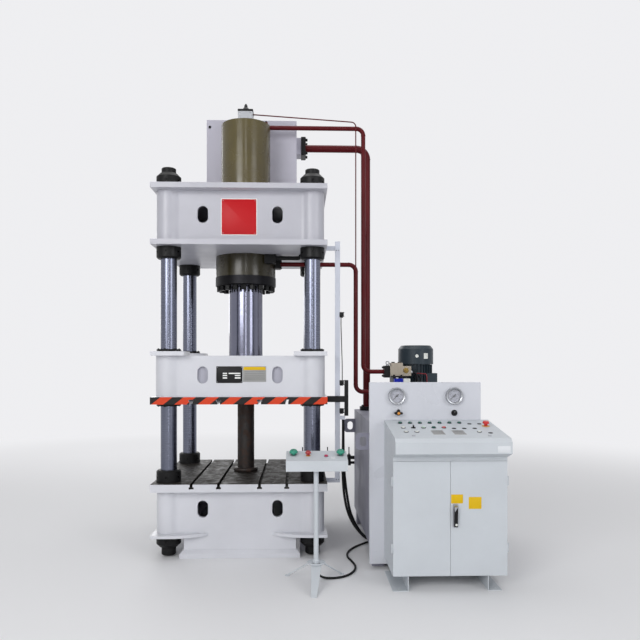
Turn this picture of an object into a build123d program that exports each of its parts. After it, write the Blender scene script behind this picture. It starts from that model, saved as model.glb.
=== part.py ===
import os
from math import atan2, cos, radians, sin, tan

from build123d import *

os.makedirs("parts", exist_ok=True)

# Four-column hydraulic press with its power unit, control desk and two-hand stand.
# Millimetres. The origin is on the floor under the centre of the press,
# +X is to the operator's right, +Y to the back, +Z up.

# Clearances
slide_fit = 0.4  # radial, a moving piece in its bore
loose_fit = 0.3  # radial, a fixed piece in its bore
side_gap = 0.4  # beside a piece that moves

# Columns and nuts
column_x = 560
column_y = 485
column_diameter = 125
thread_diameter = 112
column_bottom = 12
column_end_chamfer = 5
column_above_nut = 41
nut_wall = 32.5
top_nut_height = 103
top_nut_chamfer = 29
inner_nut_height = 92
nut_chamfer = 12
spanner_hole = 20
spanner_hole_depth = 12
spanner_hole_count = 6

# Welded boxes shared by bed, beam and slide
plate_side_margin = 112
plate_front_margin = 157
sleeve_wall = 29.5
web_recess = 30
web_blend = 70
wall = 35
rib_x = 195
rib_thickness = 30
hole_x = 288
hole_width = 82
hole_height = 132

# Bed
table_top = 579
table_thickness = 60
slot_inner_x = 155
slot_outer_x = 362
slot_mouth = 22
slot_foot_width = 38
slot_foot_height = 15
slot_depth = 36
ear_bottom = 168
ear_thickness = 22
ear_reach_x = 245
ear_straight = 140
base_width = 864
base_flange_overhang = 30
base_flange_thickness = 32
base_flange_slope = 28
bed_hole_z = 372

# Upper beam
beam_bottom = 2402
beam_height = 470
beam_plate = 40
beam_hole_rise = 247
beam_tube_gap = 33

# Slide
slide_bottom = 1186
slide_plate = 56
slide_height = 371
slide_ear_size = 257
slide_ear_thickness = 33
slide_sleeve_wall = 15.5
slide_roof = 30
slide_hole_rise = 222
slide_hole_depth = 30
ram_pad_wall = 55
ram_pad_height = 60
bush_wall = 20
bush_ring_overhang = 10.5
bush_ring_height = 18

# Cylinder
barrel_diameter = 414
barrel_top = 3525
barrel_wall = 45
collar_step = 45.5
collar_height = 178
head_thickness = 120
cylinder_nut_wall = 19
cylinder_nut_height = 80
cylinder_nut_chamfer = 8
gland_overhang = 3.5
gland_height = 78
gland_chamfer = 8
gland_spigot = 55
gland_bolt_inset = 32
gland_bolt_count = 20
gland_bolt_size = 46
gland_bolt_height = 38
ram_annulus = 19.5
ram_flange_step = 17.5
ram_flange_height = 45
ram_flange_gap = 5
piston_bottom = 2700
piston_height = 170

# Top valve on the cylinder head
top_block_size = 126
top_block_height = 120
top_block_corner = 6
top_cap_size = 112
top_cap_height = 12
top_cap_corner = 10
vent_height = 64
vent_diameter = 72
vent_steps = ((1, 0), (1, 0.12), (0.4, 0.6), (0.4, 0.75), (0.17, 1))  # shares

# Prefill tank behind the barrel
prefill_x0 = -367
prefill_x1 = 433
prefill_gap = 23
prefill_depth = 410
prefill_top = 3667
prefill_neck = 41
prefill_neck_size = 150
tank_sheet = 8

# Loose prop under the slide
prop_diameter = 142
prop_wall = 12
prop_collar_step = 33
prop_collar_height = 34

# Reservoir
reservoir_x0 = 985
reservoir_x1 = 1765
reservoir_front = -880
reservoir_back = 620
reservoir_bottom = 127
reservoir_top = 1059
lug_front_inset = 174
lug_back_inset = 75
lug_length = 105
lug_height = 127
lug_drop = 212
lug_thickness = 15
lug_corner = 30
lug_hole_height = 77
lug_hole_width = 50
lug_hole_shift = 5
foot_width = 90
foot_side_inset = 55
foot_end_inset = 120
terminal_x = 1090
terminal_width = 50
terminal_depth = 60
conduit_box_y = -408
conduit_box_bottom = 62
cable_box_y = 40
cable_box_bottom = 2

# Gauge panel on the front of the reservoir
panel_overhang = 17
panel_bottom = 41
panel_top = 1360
panel_sheet = 5
panel_return = 40
panel_seams = (130, 443, 1055)
seam_width = 3
seam_depth = 1.5
gauge_x = (1165, 1584)
gauge_drop = 99
gauge_diameter = 124
gauge_depth = 30
gauge_rim = 7
gauge_dial_depth = 20
pointer_boss = 12
pointer_boss_height = 8
pointer_rise = 3
pointer_thickness = 2
pointer_clearance = 9
pointer_half_width = 4
pointer_tail = 0.35  # share of the reach
pointer_start = 225  # degrees, at the low end of the scale
knob_x = (1174, 1587)
knob_drop = 223
valve_stem_diameter = 18
valve_stem_length = 24
valve_hub_diameter = 30
valve_wing_length = 62
valve_wing_width = 18
valve_lobe_width = 20
valve_lobe_height = 30
valve_lobe_rise = 14
valve_handle_depth = 18
knob_skirt_diameter = 44
knob_skirt_height = 6
knob_diameter = 30
knob_height = 18

# Pipes
pipe_wall = 4
flange_corner = 6
forming_diameter = 38
forming_bend = 60
forming_y = 100
forming_rise = 31
forming_x = 1018
forming_block_x0 = 100
forming_block_size = 84
forming_block_above = 34
manifold_flange_size = 104
manifold_flange_depth = 48
suction_diameter = 66
suction_bend = 95
suction_inset = 250
suction_drop = 165
suction_x = 1088
suction_flange_size = 168
suction_flange = 41
suction_foot_diameter = 130
suction_foot = 36
return_diameter = 38
return_bend = 60
return_y = 0
return_drop = 55
return_x = 944
return_flange = 44
return_flange_size = 84
pilot_diameter = 10
pilot_bend = 40
pilot_inset = 14
pilot_drop = 56
drain_diameter = 34
drain_bend = 27.2
drain_y = -170
drain_drop = 28
drain_end_x = 470
drain_block_reach = 9.5
drain_block_drop = 10
drain_block_size = 74
rear_gap = 58
rear_x0 = 450
rear_x1 = 1080
rear_slant = 120
rear_lines_z = (585, 535)
rear_diameter = (34, 26)
rear_bend = 26
rear_drop = 36

# Valve manifold on the reservoir
manifold_x0 = 1262
manifold_width = 138
manifold_y0 = -45
manifold_y1 = 175
manifold_height = 330
head_left = 14
head_right = 30
head_depth = 140
head_height = 85
head_step = 28
head_step_width = 100
head_step_inset = 10
forming_port_rise = 36
return_port_drop = 136
solenoid_width = 72
solenoid_height = 104
solenoid_depth = 70
solenoid_drop = 73
solenoid_inset = 38
connector_width = 63
connector_height = 76
connector_depth = 58
connector_drop = 59
connector_inset = 106

# Motor
motor_x = 1526
motor_y = 350
motor_height = 438
motor_cover_diameter = 318
motor_cover_height = 163
motor_cover_chamfer = 32
motor_cover_shoulder = 26
motor_cover_sheet = 3
motor_slot_count = 16
motor_slot_length = 80
motor_slot_width = 8
motor_slot_radius = 78
motor_body_diameter = 262
motor_fin_diameter = 300
motor_fin_count = 32
motor_fin_thickness = 4
motor_fin_start = 30
motor_fin_gap = 10
motor_bell_height = 110
motor_bell_neck = 20
motor_flange_diameter = 350
motor_flange_thickness = 18
motor_box_width = 90
motor_box_depth = 110
motor_box_height = 120
motor_box_rise = 120
motor_box_shift = 60
end_shield = 8
fan_hub_diameter = 68
fan_hub_height = 70
fan_blade_count = 6
fan_blade_length = 110
fan_blade_radius = 62
fan_blade_thickness = 5
fan_blade_height = 44
fan_blade_rise = 20

# Switch rail
rail_gap = 71
rail_width = 40
rail_set_back = 75
rail_depth = 20
rail_below = 28
rail_above = 69
bracket_height = 36
bracket_thickness = 10
switch_z = (1885, 1341, 1117)
switch_body = 24
switch_width = 22
switch_height = 44
switch_nose_diameter = 14
switch_nose = 6
conduit_top = 1052
conduit_block_height = 26
conduit_block_width = 46
conduit_block_depth = 54
conduit_block_x = 15
conduit_block_y = 17
cam_gap = 35
cam_width = 29
cam_lead = 30
cam_depth = 52
cam_below = 105
cam_above = 179
cam_sheet = 8
cam_arm_y = 12
cam_arm_depth = 20
cam_pad_depth = 90
cam_margin = 4

# Control desk
desk_x0 = 1074
desk_x1 = 1832
desk_bottom = 95
desk_front = -1340
door_top = 853
door_depth = 22
door_sheet = 2
door_gap = 2
door_split = 1
desk_fascia = 26
desk_lip_front = -1446
desk_lip_bottom = 914
desk_lip_top = 989
desk_edge_y = -1420
desk_edge_z = 1013
desk_back_z = 1087
desk_sheet = 3
desk_opening_margin = 18
desk_row_1 = 430
desk_row_2 = 288
desk_column_inset = 99
desk_pitch = 70.5
desk_row_count = 7
lamp_height = 6
hinge_out = 6
hinge_diameter = 12
hinge_pin = 6
hinge_pin_short = 2
hinge_height = 30
hinge_leaf = 40
hinge_door_leaf = 10
hinge_z = (250, 690)
foot_sheet = 4
foot_lead = 5
foot_length = 415
foot_left_out = 3
foot_left_in = 102
foot_right_out = 38
foot_right_in = 130
anchor_front_inset = 38
anchor_back_inset = 38
anchor_left = 41
anchor_right = 66
anchor_diameter = 14
handle_offset = 33
handle_top = 573
handle_height = 156
handle_width = 34
handle_corner = 8
handle_plate = 5
hub_inset = 24
hub_diameter = 26
hub_height = 9
lever_width = 22
lever_bulge = 14
button_diameter = 24
button_rise = 7
button_chamfer = 1
bezel_diameter = 32
bezel_height = 4
selector_skirt = 2
selector_length = 28
selector_width = 9
selector_rise = 14
stem_diameter = 24
estop_bezel = 54
estop_side = 72
estop_up = 335
estop_diameter = 46
estop_rise = 20
estop_thickness = 18
mushroom_edge_drop = 0.6  # share of the head's thickness
mushroom_edge_width = 0.16  # share of the head's diameter

# Two-hand stand
stand_x = 573
stand_y = -1130
post_diameter = 34
post_below_disc = 14
stand_disc_diameter = 124
stand_disc_z = 128
stand_disc_thickness = 8
stand_bolt_hole = 8
stand_bolt_x = 20
stand_bolt_y = 42
front_tip = (-22, -312)
front_leg_start = 40
front_leg_root = 70
front_leg_end = 36
front_leg_sheet = 5
rear_tips = ((-200, 128), (187, 144))
rear_leg_diameter = 10
rear_leg_start = 45
rear_foot_radii = (16, 13)
rear_foot_height = 6
box_left = 206
box_right = 213
box_front_reach = 85
box_back_reach = 105
box_bottom = 769
box_front_height = 71
box_back_height = 114
box_sheet = 2.5
palm_left = (51, 115)
palm_right = (44, 110)
box_estop = (151, 102)
box_button = (275, 84)
palm_diameter = 58
palm_rise = 18
palm_thickness = 20
box_estop_diameter = 40
box_estop_thickness = 16

# Cords
floor_cable_diameter = 16
floor_cable_lift = 0.5
conduit_diameter = 20
lead_diameter = 7

# Derived sizes and places
nut_diameter = column_diameter + 2 * nut_wall
sleeve_radius = column_diameter / 2 + sleeve_wall
plate_width = 2 * (column_x + plate_side_margin)
plate_depth = 2 * (column_y + plate_front_margin)
base_flange_width = base_width + 2 * base_flange_overhang
beam_top = beam_bottom + beam_height
beam_hole_z = beam_bottom + beam_hole_rise
column_top = beam_top + top_nut_height + column_above_nut
table_bottom = table_top - table_thickness
ear_top = ear_bottom + ear_thickness
web_x = column_x + sleeve_radius - web_recess
web_y = column_y + sleeve_radius - web_recess
slide_plate_top = slide_bottom + slide_plate
slide_top = slide_bottom + slide_height
slide_ear_top = slide_top + slide_ear_thickness
slide_hole_z = slide_bottom + slide_hole_rise
bush_diameter = column_diameter + 2 * bush_wall
bush_ring_diameter = bush_diameter + 2 * bush_ring_overhang
slide_sleeve_radius = bush_diameter / 2 + slide_sleeve_wall
slide_web_y = column_y + slide_sleeve_radius - web_recess
cylinder_bore = barrel_diameter - 2 * barrel_wall
collar_diameter = barrel_diameter + 2 * collar_step
collar_bottom = beam_bottom - collar_height
cylinder_nut_diameter = barrel_diameter + 2 * cylinder_nut_wall
beam_tube_radius = barrel_diameter / 2 + beam_tube_gap
gland_diameter = collar_diameter + 2 * gland_overhang
gland_bottom = collar_bottom - gland_height
gland_bolt_circle = gland_diameter - 2 * gland_bolt_inset
ram_diameter = cylinder_bore - 2 * ram_annulus
ram_flange_diameter = ram_diameter + 2 * ram_flange_step
ram_opening_diameter = ram_flange_diameter + 2 * ram_flange_gap
ram_pad_diameter = ram_opening_diameter + 2 * ram_pad_wall
ram_seat = slide_plate_top + ram_pad_height
top_block_top = barrel_top + top_block_height
vent_foot = top_block_top + top_cap_height
prefill_front = barrel_diameter / 2 + prefill_gap
prefill_back = prefill_front + prefill_depth
forming_z = barrel_top + forming_rise
forming_block_x1 = forming_block_x0 + forming_block_size
suction_y = prefill_front + suction_inset
suction_z = prefill_top - suction_drop
return_z = beam_bottom - return_drop
pilot_z = top_block_top - pilot_inset
drain_z = beam_bottom - drain_drop
drain_block_x = collar_diameter / 2 + drain_block_reach
rear_y = plate_depth / 2 + rear_gap
manifold_x1 = manifold_x0 + manifold_width
manifold_top = reservoir_top + manifold_height
head_x0 = manifold_x0 - head_left
head_x1 = manifold_x1 + head_right
head_top = manifold_top + head_height
forming_bottom = manifold_top + forming_port_rise
return_bottom = manifold_top - return_port_drop
manifold_flange_x0 = head_x0 - manifold_flange_depth
panel_x0 = reservoir_x0 - panel_overhang
panel_x1 = reservoir_x1 + panel_overhang
panel_front = reservoir_front - panel_sheet
gauge_z = panel_top - gauge_drop
knob_z = panel_top - knob_drop
motor_cover_bottom = reservoir_top + motor_height
motor_top = motor_cover_bottom + motor_cover_height
rail_x0 = plate_width / 2 + rail_gap
rail_x1 = rail_x0 + rail_width
rail_y0 = rail_set_back - column_y
rail_back = rail_y0 + rail_depth
rail_middle_y = rail_y0 + rail_depth / 2
rail_bottom = table_top - rail_below
rail_top = beam_bottom + rail_above
cam_x0 = rail_x1 + cam_gap
cam_front = rail_y0 - cam_lead
cam_bottom = slide_bottom - cam_below
cam_top = slide_bottom + cam_above
desk_back = panel_front - loose_fit
foot_front = desk_front - foot_lead
foot_back = foot_front + foot_length
door_middle = (desk_x0 + desk_x1) / 2
handle_x = door_middle + handle_offset
handle_bottom = handle_top - handle_height
box_x0 = stand_x - box_left
box_x1 = stand_x + box_right
box_front = stand_y - box_front_reach
box_back = stand_y + box_back_reach
box_front_top = box_bottom + box_front_height
box_back_top = box_bottom + box_back_height
cable_lie = floor_cable_diameter / 2 + floor_cable_lift
column_grid = GridLocations(2 * column_x, 2 * column_y, 2, 2)
through = 4000


def box_outline(radius):
    """Plan of a welded box, its flat webs running into round corner sleeves."""
    half_x = column_x + radius - web_recess
    half_y = column_y + radius - web_recess
    with BuildSketch() as outline:
        Rectangle(2 * half_x, 2 * half_y)
        with GridLocations(2 * column_x, 2 * column_y, 2, 2):
            Circle(radius)
        creases = [
            v
            for v in outline.vertices()
            if abs(abs(v.X) - half_x) < 0.01 or abs(abs(v.Y) - half_y) < 0.01
        ]
        fillet(creases, web_blend)
    return outline.sketch


def cavity_plan(radius, centre_radius=0):
    """Hollow inside a welded box, leaving webs, corner sleeves and ribs."""
    half_x = column_x + radius - web_recess - wall
    half_y = column_y + radius - web_recess - wall
    with BuildSketch() as hollow:
        Rectangle(2 * half_x, 2 * half_y)
        with GridLocations(2 * column_x, 2 * column_y, 2, 2):
            Circle(radius, mode=Mode.SUBTRACT)
        with Locations((-rib_x, 0), (rib_x, 0)):
            Rectangle(rib_thickness, 2 * half_y, mode=Mode.SUBTRACT)
        if centre_radius:
            Circle(centre_radius, mode=Mode.SUBTRACT)
    return hollow.sketch


def tube(points, outer, bore, bend):
    """Pipe along straight runs that are joined by bends of one radius."""
    with BuildPart() as pipe:
        with BuildLine() as route:
            if len(points) == 2:
                Line(*points)
            else:
                FilletPolyline(*points, radius=bend)
        with BuildSketch(Plane(origin=route.line @ 0, z_dir=route.line % 0)):
            Circle(outer / 2)
            if bore:
                Circle(bore / 2, mode=Mode.SUBTRACT)
        sweep(path=route.line)
    return pipe.part


def slot_section(face_z, inward):
    """Section of the four T-slots that run along Y, cut into a face from below or above."""
    with BuildSketch(Plane.XZ) as section:
        for x in (-slot_outer_x, -slot_inner_x, slot_inner_x, slot_outer_x):
            with Locations((x, face_z + inward * slot_depth / 2)):
                Rectangle(slot_mouth, slot_depth)
            with Locations((x, face_z + inward * (slot_depth - slot_foot_height / 2))):
                Rectangle(slot_foot_width, slot_foot_height)
    return section.sketch


# Bed: table plate with slots, webs and corner sleeves, ears, and a base on a flange
bed_outline = box_outline(sleeve_radius)
bed_cavity = cavity_plan(sleeve_radius)

with BuildPart() as bed:
    with BuildSketch(Plane.XY.offset(ear_bottom)):
        add(bed_outline)
    extrude(amount=table_bottom - ear_bottom)
    with BuildSketch(Plane.XY.offset(table_bottom)):
        Rectangle(plate_width, plate_depth)
    extrude(amount=table_thickness)
    with BuildSketch(Plane.XY.offset(ear_bottom)):
        with BuildLine():
            edge_x = plate_width / 2
            edge_y = plate_depth / 2
            front_run = Line((edge_x, edge_y), (edge_x - ear_straight, edge_y))
            front_curve = TangentArc(
                front_run @ 1, (ear_reach_x, web_y), tangent=(-1, 0)
            )
            side_run = Line((edge_x, edge_y), (edge_x, edge_y - ear_straight))
            side_curve = TangentArc(
                side_run @ 1, (web_x, ear_reach_x), tangent=(0, -1)
            )
            Line(front_curve @ 1, (ear_reach_x, ear_reach_x))
            Line((ear_reach_x, ear_reach_x), side_curve @ 1)
        make_face()
        mirror(about=Plane.XZ)
        mirror(about=Plane.YZ)
    extrude(amount=ear_thickness)
    with BuildSketch(Plane.XY):
        Rectangle(base_width, 2 * web_y)
    extrude(amount=ear_bottom)
    with BuildSketch(Plane.XY):
        Rectangle(base_flange_width, 2 * (web_y + base_flange_overhang))
    extrude(amount=base_flange_thickness)
    with BuildSketch(Plane.XY.offset(base_flange_thickness)):
        Rectangle(base_flange_width, 2 * (web_y + base_flange_overhang))
    extrude(amount=base_flange_slope, taper=45)
    # Hollow of the upper box, and of the base above its floor plate
    with BuildSketch(Plane.XY.offset(ear_top)):
        add(bed_cavity)
    extrude(amount=table_bottom - ear_top, mode=Mode.SUBTRACT)
    with BuildSketch(Plane.XY.offset(base_flange_thickness)):
        Rectangle(base_width - 2 * wall, 2 * (web_y - wall))
        with Locations((-rib_x, 0), (rib_x, 0)):
            Rectangle(rib_thickness, 2 * web_y, mode=Mode.SUBTRACT)
    extrude(amount=ear_top - base_flange_thickness, mode=Mode.SUBTRACT)
    with BuildSketch(Plane.XY):
        with column_grid:
            Circle(column_diameter / 2 + loose_fit)
    extrude(amount=through, mode=Mode.SUBTRACT)
    with BuildSketch(Plane.XZ):
        with Locations((-hole_x, bed_hole_z), (hole_x, bed_hole_z)):
            SlotOverall(hole_height, hole_width, rotation=90)
    extrude(amount=through, both=True, mode=Mode.SUBTRACT)
    extrude(slot_section(table_top, -1), amount=through, both=True, mode=Mode.SUBTRACT)
bed.part.label = "bed"
export_step(bed.part, "parts/bed.step")

# Upper beam: box between two plates, with a tube that carries the cylinder
with BuildPart() as upper_beam:
    with BuildSketch(Plane.XY.offset(beam_bottom)):
        Rectangle(plate_width, plate_depth)
    extrude(amount=beam_plate)
    with BuildSketch(Plane.XY.offset(beam_top - beam_plate)):
        Rectangle(plate_width, plate_depth)
    extrude(amount=beam_plate)
    with BuildSketch(Plane.XY.offset(beam_bottom + beam_plate)):
        add(bed_outline)
    extrude(amount=beam_height - 2 * beam_plate)
    with BuildSketch(Plane.XY.offset(beam_bottom + beam_plate)):
        add(cavity_plan(sleeve_radius, beam_tube_radius))
    extrude(amount=beam_height - 2 * beam_plate, mode=Mode.SUBTRACT)
    with BuildSketch(Plane.XY.offset(beam_bottom)):
        with column_grid:
            Circle(column_diameter / 2 + loose_fit)
        Circle(barrel_diameter / 2 + loose_fit)
    extrude(amount=beam_height, mode=Mode.SUBTRACT)
    with BuildSketch(Plane.XZ):
        with Locations((-hole_x, beam_hole_z), (hole_x, beam_hole_z)):
            SlotOverall(hole_height, hole_width, rotation=90)
    extrude(amount=through, both=True, mode=Mode.SUBTRACT)
upper_beam.part.label = "upper_beam"
export_step(upper_beam.part, "parts/upper_beam.step")

# Columns, turned down to the thread at both ends
with BuildPart() as columns:
    with BuildSketch(Plane.XY.offset(ear_bottom)):
        with column_grid:
            Circle(column_diameter / 2)
    extrude(amount=beam_top - ear_bottom)
    with BuildSketch(Plane.XY.offset(column_bottom)):
        with column_grid:
            Circle(thread_diameter / 2)
    extrude(amount=ear_bottom - column_bottom)
    with BuildSketch(Plane.XY.offset(beam_top)):
        with column_grid:
            Circle(thread_diameter / 2)
    extrude(amount=column_top - beam_top)
    ends = columns.faces().filter_by(Axis.Z)
    tips = ends.sort_by(Axis.Z)[:4] + ends.sort_by(Axis.Z)[-4:]
    chamfer(tips.edges(), column_end_chamfer)
columns.part.label = "columns"
export_step(columns.part, "parts/columns.step")


def nut_set(bottom, height, bore, top_chamfer, bottom_chamfer):
    """Four round nuts, one on each column."""
    with BuildPart() as nuts:
        with BuildSketch(Plane.XY.offset(bottom)):
            with GridLocations(2 * column_x, 2 * column_y, 2, 2):
                Circle(nut_diameter / 2)
                Circle(bore / 2 + loose_fit, mode=Mode.SUBTRACT)
        extrude(amount=height)
        rims = nuts.edges().filter_by(
            lambda e: e.geom_type == GeomType.CIRCLE
            and abs(e.radius - nut_diameter / 2) < 0.01
        )
        if top_chamfer:
            chamfer(rims.group_by(Axis.Z)[-1], top_chamfer)
        if bottom_chamfer:
            chamfer(rims.group_by(Axis.Z)[0], bottom_chamfer)
        hole_z = bottom + (height + bottom_chamfer - top_chamfer) / 2
        for i in range(spanner_hole_count):
            heading = Vector(0, -1, 0).rotate(Axis.Z, i * 360 / spanner_hole_count)
            for centre in GridLocations(2 * column_x, 2 * column_y, 2, 2):
                start = centre.position + heading * (nut_diameter / 2 - spanner_hole_depth)
                mouth = Plane(origin=(start.X, start.Y, hole_z), z_dir=heading)
                with BuildSketch(mouth):
                    Circle(spanner_hole / 2)
                extrude(amount=spanner_hole_depth * 2, mode=Mode.SUBTRACT)
    return nuts.part


with BuildPart() as column_nuts:
    add(nut_set(beam_top, top_nut_height, thread_diameter, top_nut_chamfer, 0))
    add(
        nut_set(
            beam_bottom - inner_nut_height,
            inner_nut_height,
            column_diameter,
            0,
            nut_chamfer,
        )
    )
    add(nut_set(table_top, inner_nut_height, column_diameter, nut_chamfer, 0))
    add(
        nut_set(
            ear_bottom - inner_nut_height,
            inner_nut_height,
            thread_diameter,
            0,
            2 * nut_chamfer,
        )
    )
column_nuts.part.label = "column_nuts"
export_step(column_nuts.part, "parts/column_nuts.step")

# Slide: slotted bottom plate, hollow body, four ears and a pad for the ram
slide_outline = box_outline(slide_sleeve_radius)
with BuildPart() as slide_body:
    with BuildSketch(Plane.XY.offset(slide_bottom)):
        Rectangle(plate_width, plate_depth)
    extrude(amount=slide_plate)
    with BuildSketch(Plane.XY.offset(slide_plate_top)):
        add(slide_outline)
    extrude(amount=slide_top - slide_plate_top)
    with BuildSketch(Plane.XY.offset(slide_top)):
        ear_offset_x = (plate_width - slide_ear_size) / 2
        ear_offset_y = (plate_depth - slide_ear_size) / 2
        with GridLocations(2 * ear_offset_x, 2 * ear_offset_y, 2, 2):
            Rectangle(slide_ear_size, slide_ear_size)
    extrude(amount=slide_ear_thickness)
    with BuildSketch(Plane.XY.offset(slide_plate_top)):
        add(cavity_plan(slide_sleeve_radius, ram_pad_diameter / 2))
    extrude(
        amount=slide_top - slide_roof - slide_plate_top, mode=Mode.SUBTRACT
    )
    with BuildSketch(Plane.XY.offset(ram_seat)):
        Circle(ram_opening_diameter / 2)
    extrude(amount=slide_top - ram_seat, mode=Mode.SUBTRACT)
    with BuildSketch(Plane.XY.offset(slide_bottom)):
        with column_grid:
            Circle(bush_diameter / 2 + loose_fit)
    extrude(amount=slide_ear_top - slide_bottom, mode=Mode.SUBTRACT)
    for face_y, outward in ((-slide_web_y, 1), (slide_web_y, -1)):
        with BuildSketch(Plane.XZ.offset(-face_y)):
            with Locations((-hole_x, slide_hole_z), (hole_x, slide_hole_z)):
                SlotOverall(hole_height, hole_width, rotation=90)
        extrude(amount=-outward * slide_hole_depth, mode=Mode.SUBTRACT)
    extrude(slot_section(slide_bottom, 1), amount=through, both=True, mode=Mode.SUBTRACT)
slide_body.part.label = "slide_body"
export_step(slide_body.part, "parts/slide_body.step")

# Bronze bushes in the slide, running on the columns
with BuildPart() as guide_bushes:
    with BuildSketch(Plane.XY.offset(slide_bottom)):
        with column_grid:
            Circle(bush_diameter / 2)
            Circle(column_diameter / 2 + slide_fit, mode=Mode.SUBTRACT)
    extrude(amount=slide_ear_top - slide_bottom)
guide_bushes.part.label = "guide_bushes"
export_step(guide_bushes.part, "parts/guide_bushes.step")

# Wiper rings that hold the bushes, above the ears and below the plate
with BuildPart() as bush_rings:
    for level in (slide_ear_top, slide_bottom - bush_ring_height):
        with BuildSketch(Plane.XY.offset(level)):
            with column_grid:
                Circle(bush_ring_diameter / 2)
                Circle(column_diameter / 2 + slide_fit, mode=Mode.SUBTRACT)
        extrude(amount=bush_ring_height)
bush_rings.part.label = "bush_rings"
export_step(bush_rings.part, "parts/bush_rings.step")

# Cylinder barrel: thick collar under the beam, plain barrel above, closed head
with BuildPart() as cylinder_barrel:
    with BuildSketch(Plane.XZ):
        with BuildLine():
            Polyline(
                (cylinder_bore / 2, collar_bottom),
                (collar_diameter / 2, collar_bottom),
                (collar_diameter / 2, beam_bottom),
                (barrel_diameter / 2, beam_bottom),
                (barrel_diameter / 2, barrel_top),
                (0, barrel_top),
                (0, barrel_top - head_thickness),
                (cylinder_bore / 2, barrel_top - head_thickness),
                close=True,
            )
        make_face()
    revolve(axis=Axis.Z)
    # Ports for the forming line in the head and the return line in the collar
    with BuildSketch(Plane.XY.offset(barrel_top)):
        with Locations(((forming_block_x0 + forming_block_x1) / 2, forming_y)):
            Circle(forming_diameter / 2 - pipe_wall)
    extrude(amount=-head_thickness, mode=Mode.SUBTRACT)
    with BuildSketch(Plane.YZ):
        with Locations((return_y, return_z)):
            Circle(return_diameter / 2 - pipe_wall)
    extrude(amount=collar_diameter, mode=Mode.SUBTRACT)
cylinder_barrel.part.label = "cylinder_barrel"
export_step(cylinder_barrel.part, "parts/cylinder_barrel.step")

# Ring nut that holds the cylinder down on the beam
with BuildPart() as cylinder_nut:
    with BuildSketch(Plane.XY.offset(beam_top)):
        Circle(cylinder_nut_diameter / 2)
        Circle(barrel_diameter / 2 + loose_fit, mode=Mode.SUBTRACT)
    extrude(amount=cylinder_nut_height)
    chamfer(cylinder_nut.faces().sort_by(Axis.Z)[-1].outer_wire().edges(), cylinder_nut_chamfer)
cylinder_nut.part.label = "cylinder_nut"
export_step(cylinder_nut.part, "parts/cylinder_nut.step")

# Gland ring under the collar, with its seal spigot inside the bore
with BuildPart() as gland_ring:
    with BuildSketch(Plane.XZ):
        with BuildLine():
            Polyline(
                (ram_diameter / 2 + slide_fit, gland_bottom),
                (gland_diameter / 2 - gland_chamfer, gland_bottom),
                (gland_diameter / 2, gland_bottom + gland_chamfer),
                (gland_diameter / 2, collar_bottom),
                (cylinder_bore / 2 - loose_fit, collar_bottom),
                (cylinder_bore / 2 - loose_fit, collar_bottom + gland_spigot),
                (ram_diameter / 2 + slide_fit, collar_bottom + gland_spigot),
                close=True,
            )
        make_face()
    revolve(axis=Axis.Z)
gland_ring.part.label = "gland_ring"
export_step(gland_ring.part, "parts/gland_ring.step")

# Bolts in a circle under the gland ring
with BuildPart() as gland_bolts:
    with BuildSketch(Plane.XY.offset(gland_bottom - gland_bolt_height)):
        with PolarLocations(gland_bolt_circle / 2, gland_bolt_count):
            RegularPolygon(gland_bolt_size / 2, 6)
    extrude(amount=gland_bolt_height)
gland_bolts.part.label = "gland_bolts"
export_step(gland_bolts.part, "parts/gland_bolts.step")

# Ram with its piston at the top and its mounting flange in the slide
with BuildPart() as ram:
    with BuildSketch(Plane.XZ):
        with BuildLine():
            Polyline(
                (0, ram_seat),
                (ram_flange_diameter / 2, ram_seat),
                (ram_flange_diameter / 2, ram_seat + ram_flange_height),
                (ram_diameter / 2, ram_seat + ram_flange_height),
                (ram_diameter / 2, piston_bottom),
                (cylinder_bore / 2 - slide_fit, piston_bottom),
                (cylinder_bore / 2 - slide_fit, piston_bottom + piston_height),
                (0, piston_bottom + piston_height),
                close=True,
            )
        make_face()
    revolve(axis=Axis.Z)
ram.part.label = "ram"
export_step(ram.part, "parts/ram.step")

# Top valve block on the cylinder head, with its cap plate and pointed vent
with BuildPart() as top_valve:
    with BuildSketch(Plane.XY.offset(barrel_top)):
        RectangleRounded(top_block_size, top_block_size, top_block_corner)
    extrude(amount=top_block_height)
    with BuildSketch(Plane.XY.offset(top_block_top)):
        RectangleRounded(top_cap_size, top_cap_size, top_cap_corner)
    extrude(amount=top_cap_height)
    with BuildSketch(Plane.XZ):
        with BuildLine():
            Polyline(
                (0, vent_foot),
                *[
                    (wide * vent_diameter / 2, vent_foot + up * vent_height)
                    for wide, up in vent_steps
                ],
                (0, vent_foot + vent_height),
                close=True,
            )
        make_face()
    revolve(axis=Axis.Z)
top_valve.part.label = "top_valve"
export_step(top_valve.part, "parts/top_valve.step")

# Prefill tank, a sheet box on the beam, with the port in its right side
with BuildPart() as prefill_tank:
    tank_centre = ((prefill_x0 + prefill_x1) / 2, (prefill_front + prefill_back) / 2)
    tank_width = prefill_x1 - prefill_x0
    tank_depth = prefill_back - prefill_front
    with BuildSketch(Plane.XY.offset(beam_top)):
        with Locations(tank_centre):
            Rectangle(tank_width, tank_depth)
    extrude(amount=prefill_top - beam_top)
    with BuildSketch(Plane.XY.offset(beam_top + tank_sheet)):
        with Locations(tank_centre):
            Rectangle(tank_width - 2 * tank_sheet, tank_depth - 2 * tank_sheet)
    extrude(amount=prefill_top - beam_top - 2 * tank_sheet, mode=Mode.SUBTRACT)
    with BuildSketch(Plane.YZ.offset(prefill_x1)):
        with Locations((suction_y, suction_z)):
            Rectangle(prefill_neck_size, prefill_neck_size)
    extrude(amount=prefill_neck)
    with BuildSketch(Plane.YZ.offset(prefill_x1 - 2 * tank_sheet)):
        with Locations((suction_y, suction_z)):
            Circle(suction_diameter / 2 - pipe_wall)
    extrude(amount=prefill_neck + 2 * tank_sheet, mode=Mode.SUBTRACT)
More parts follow.
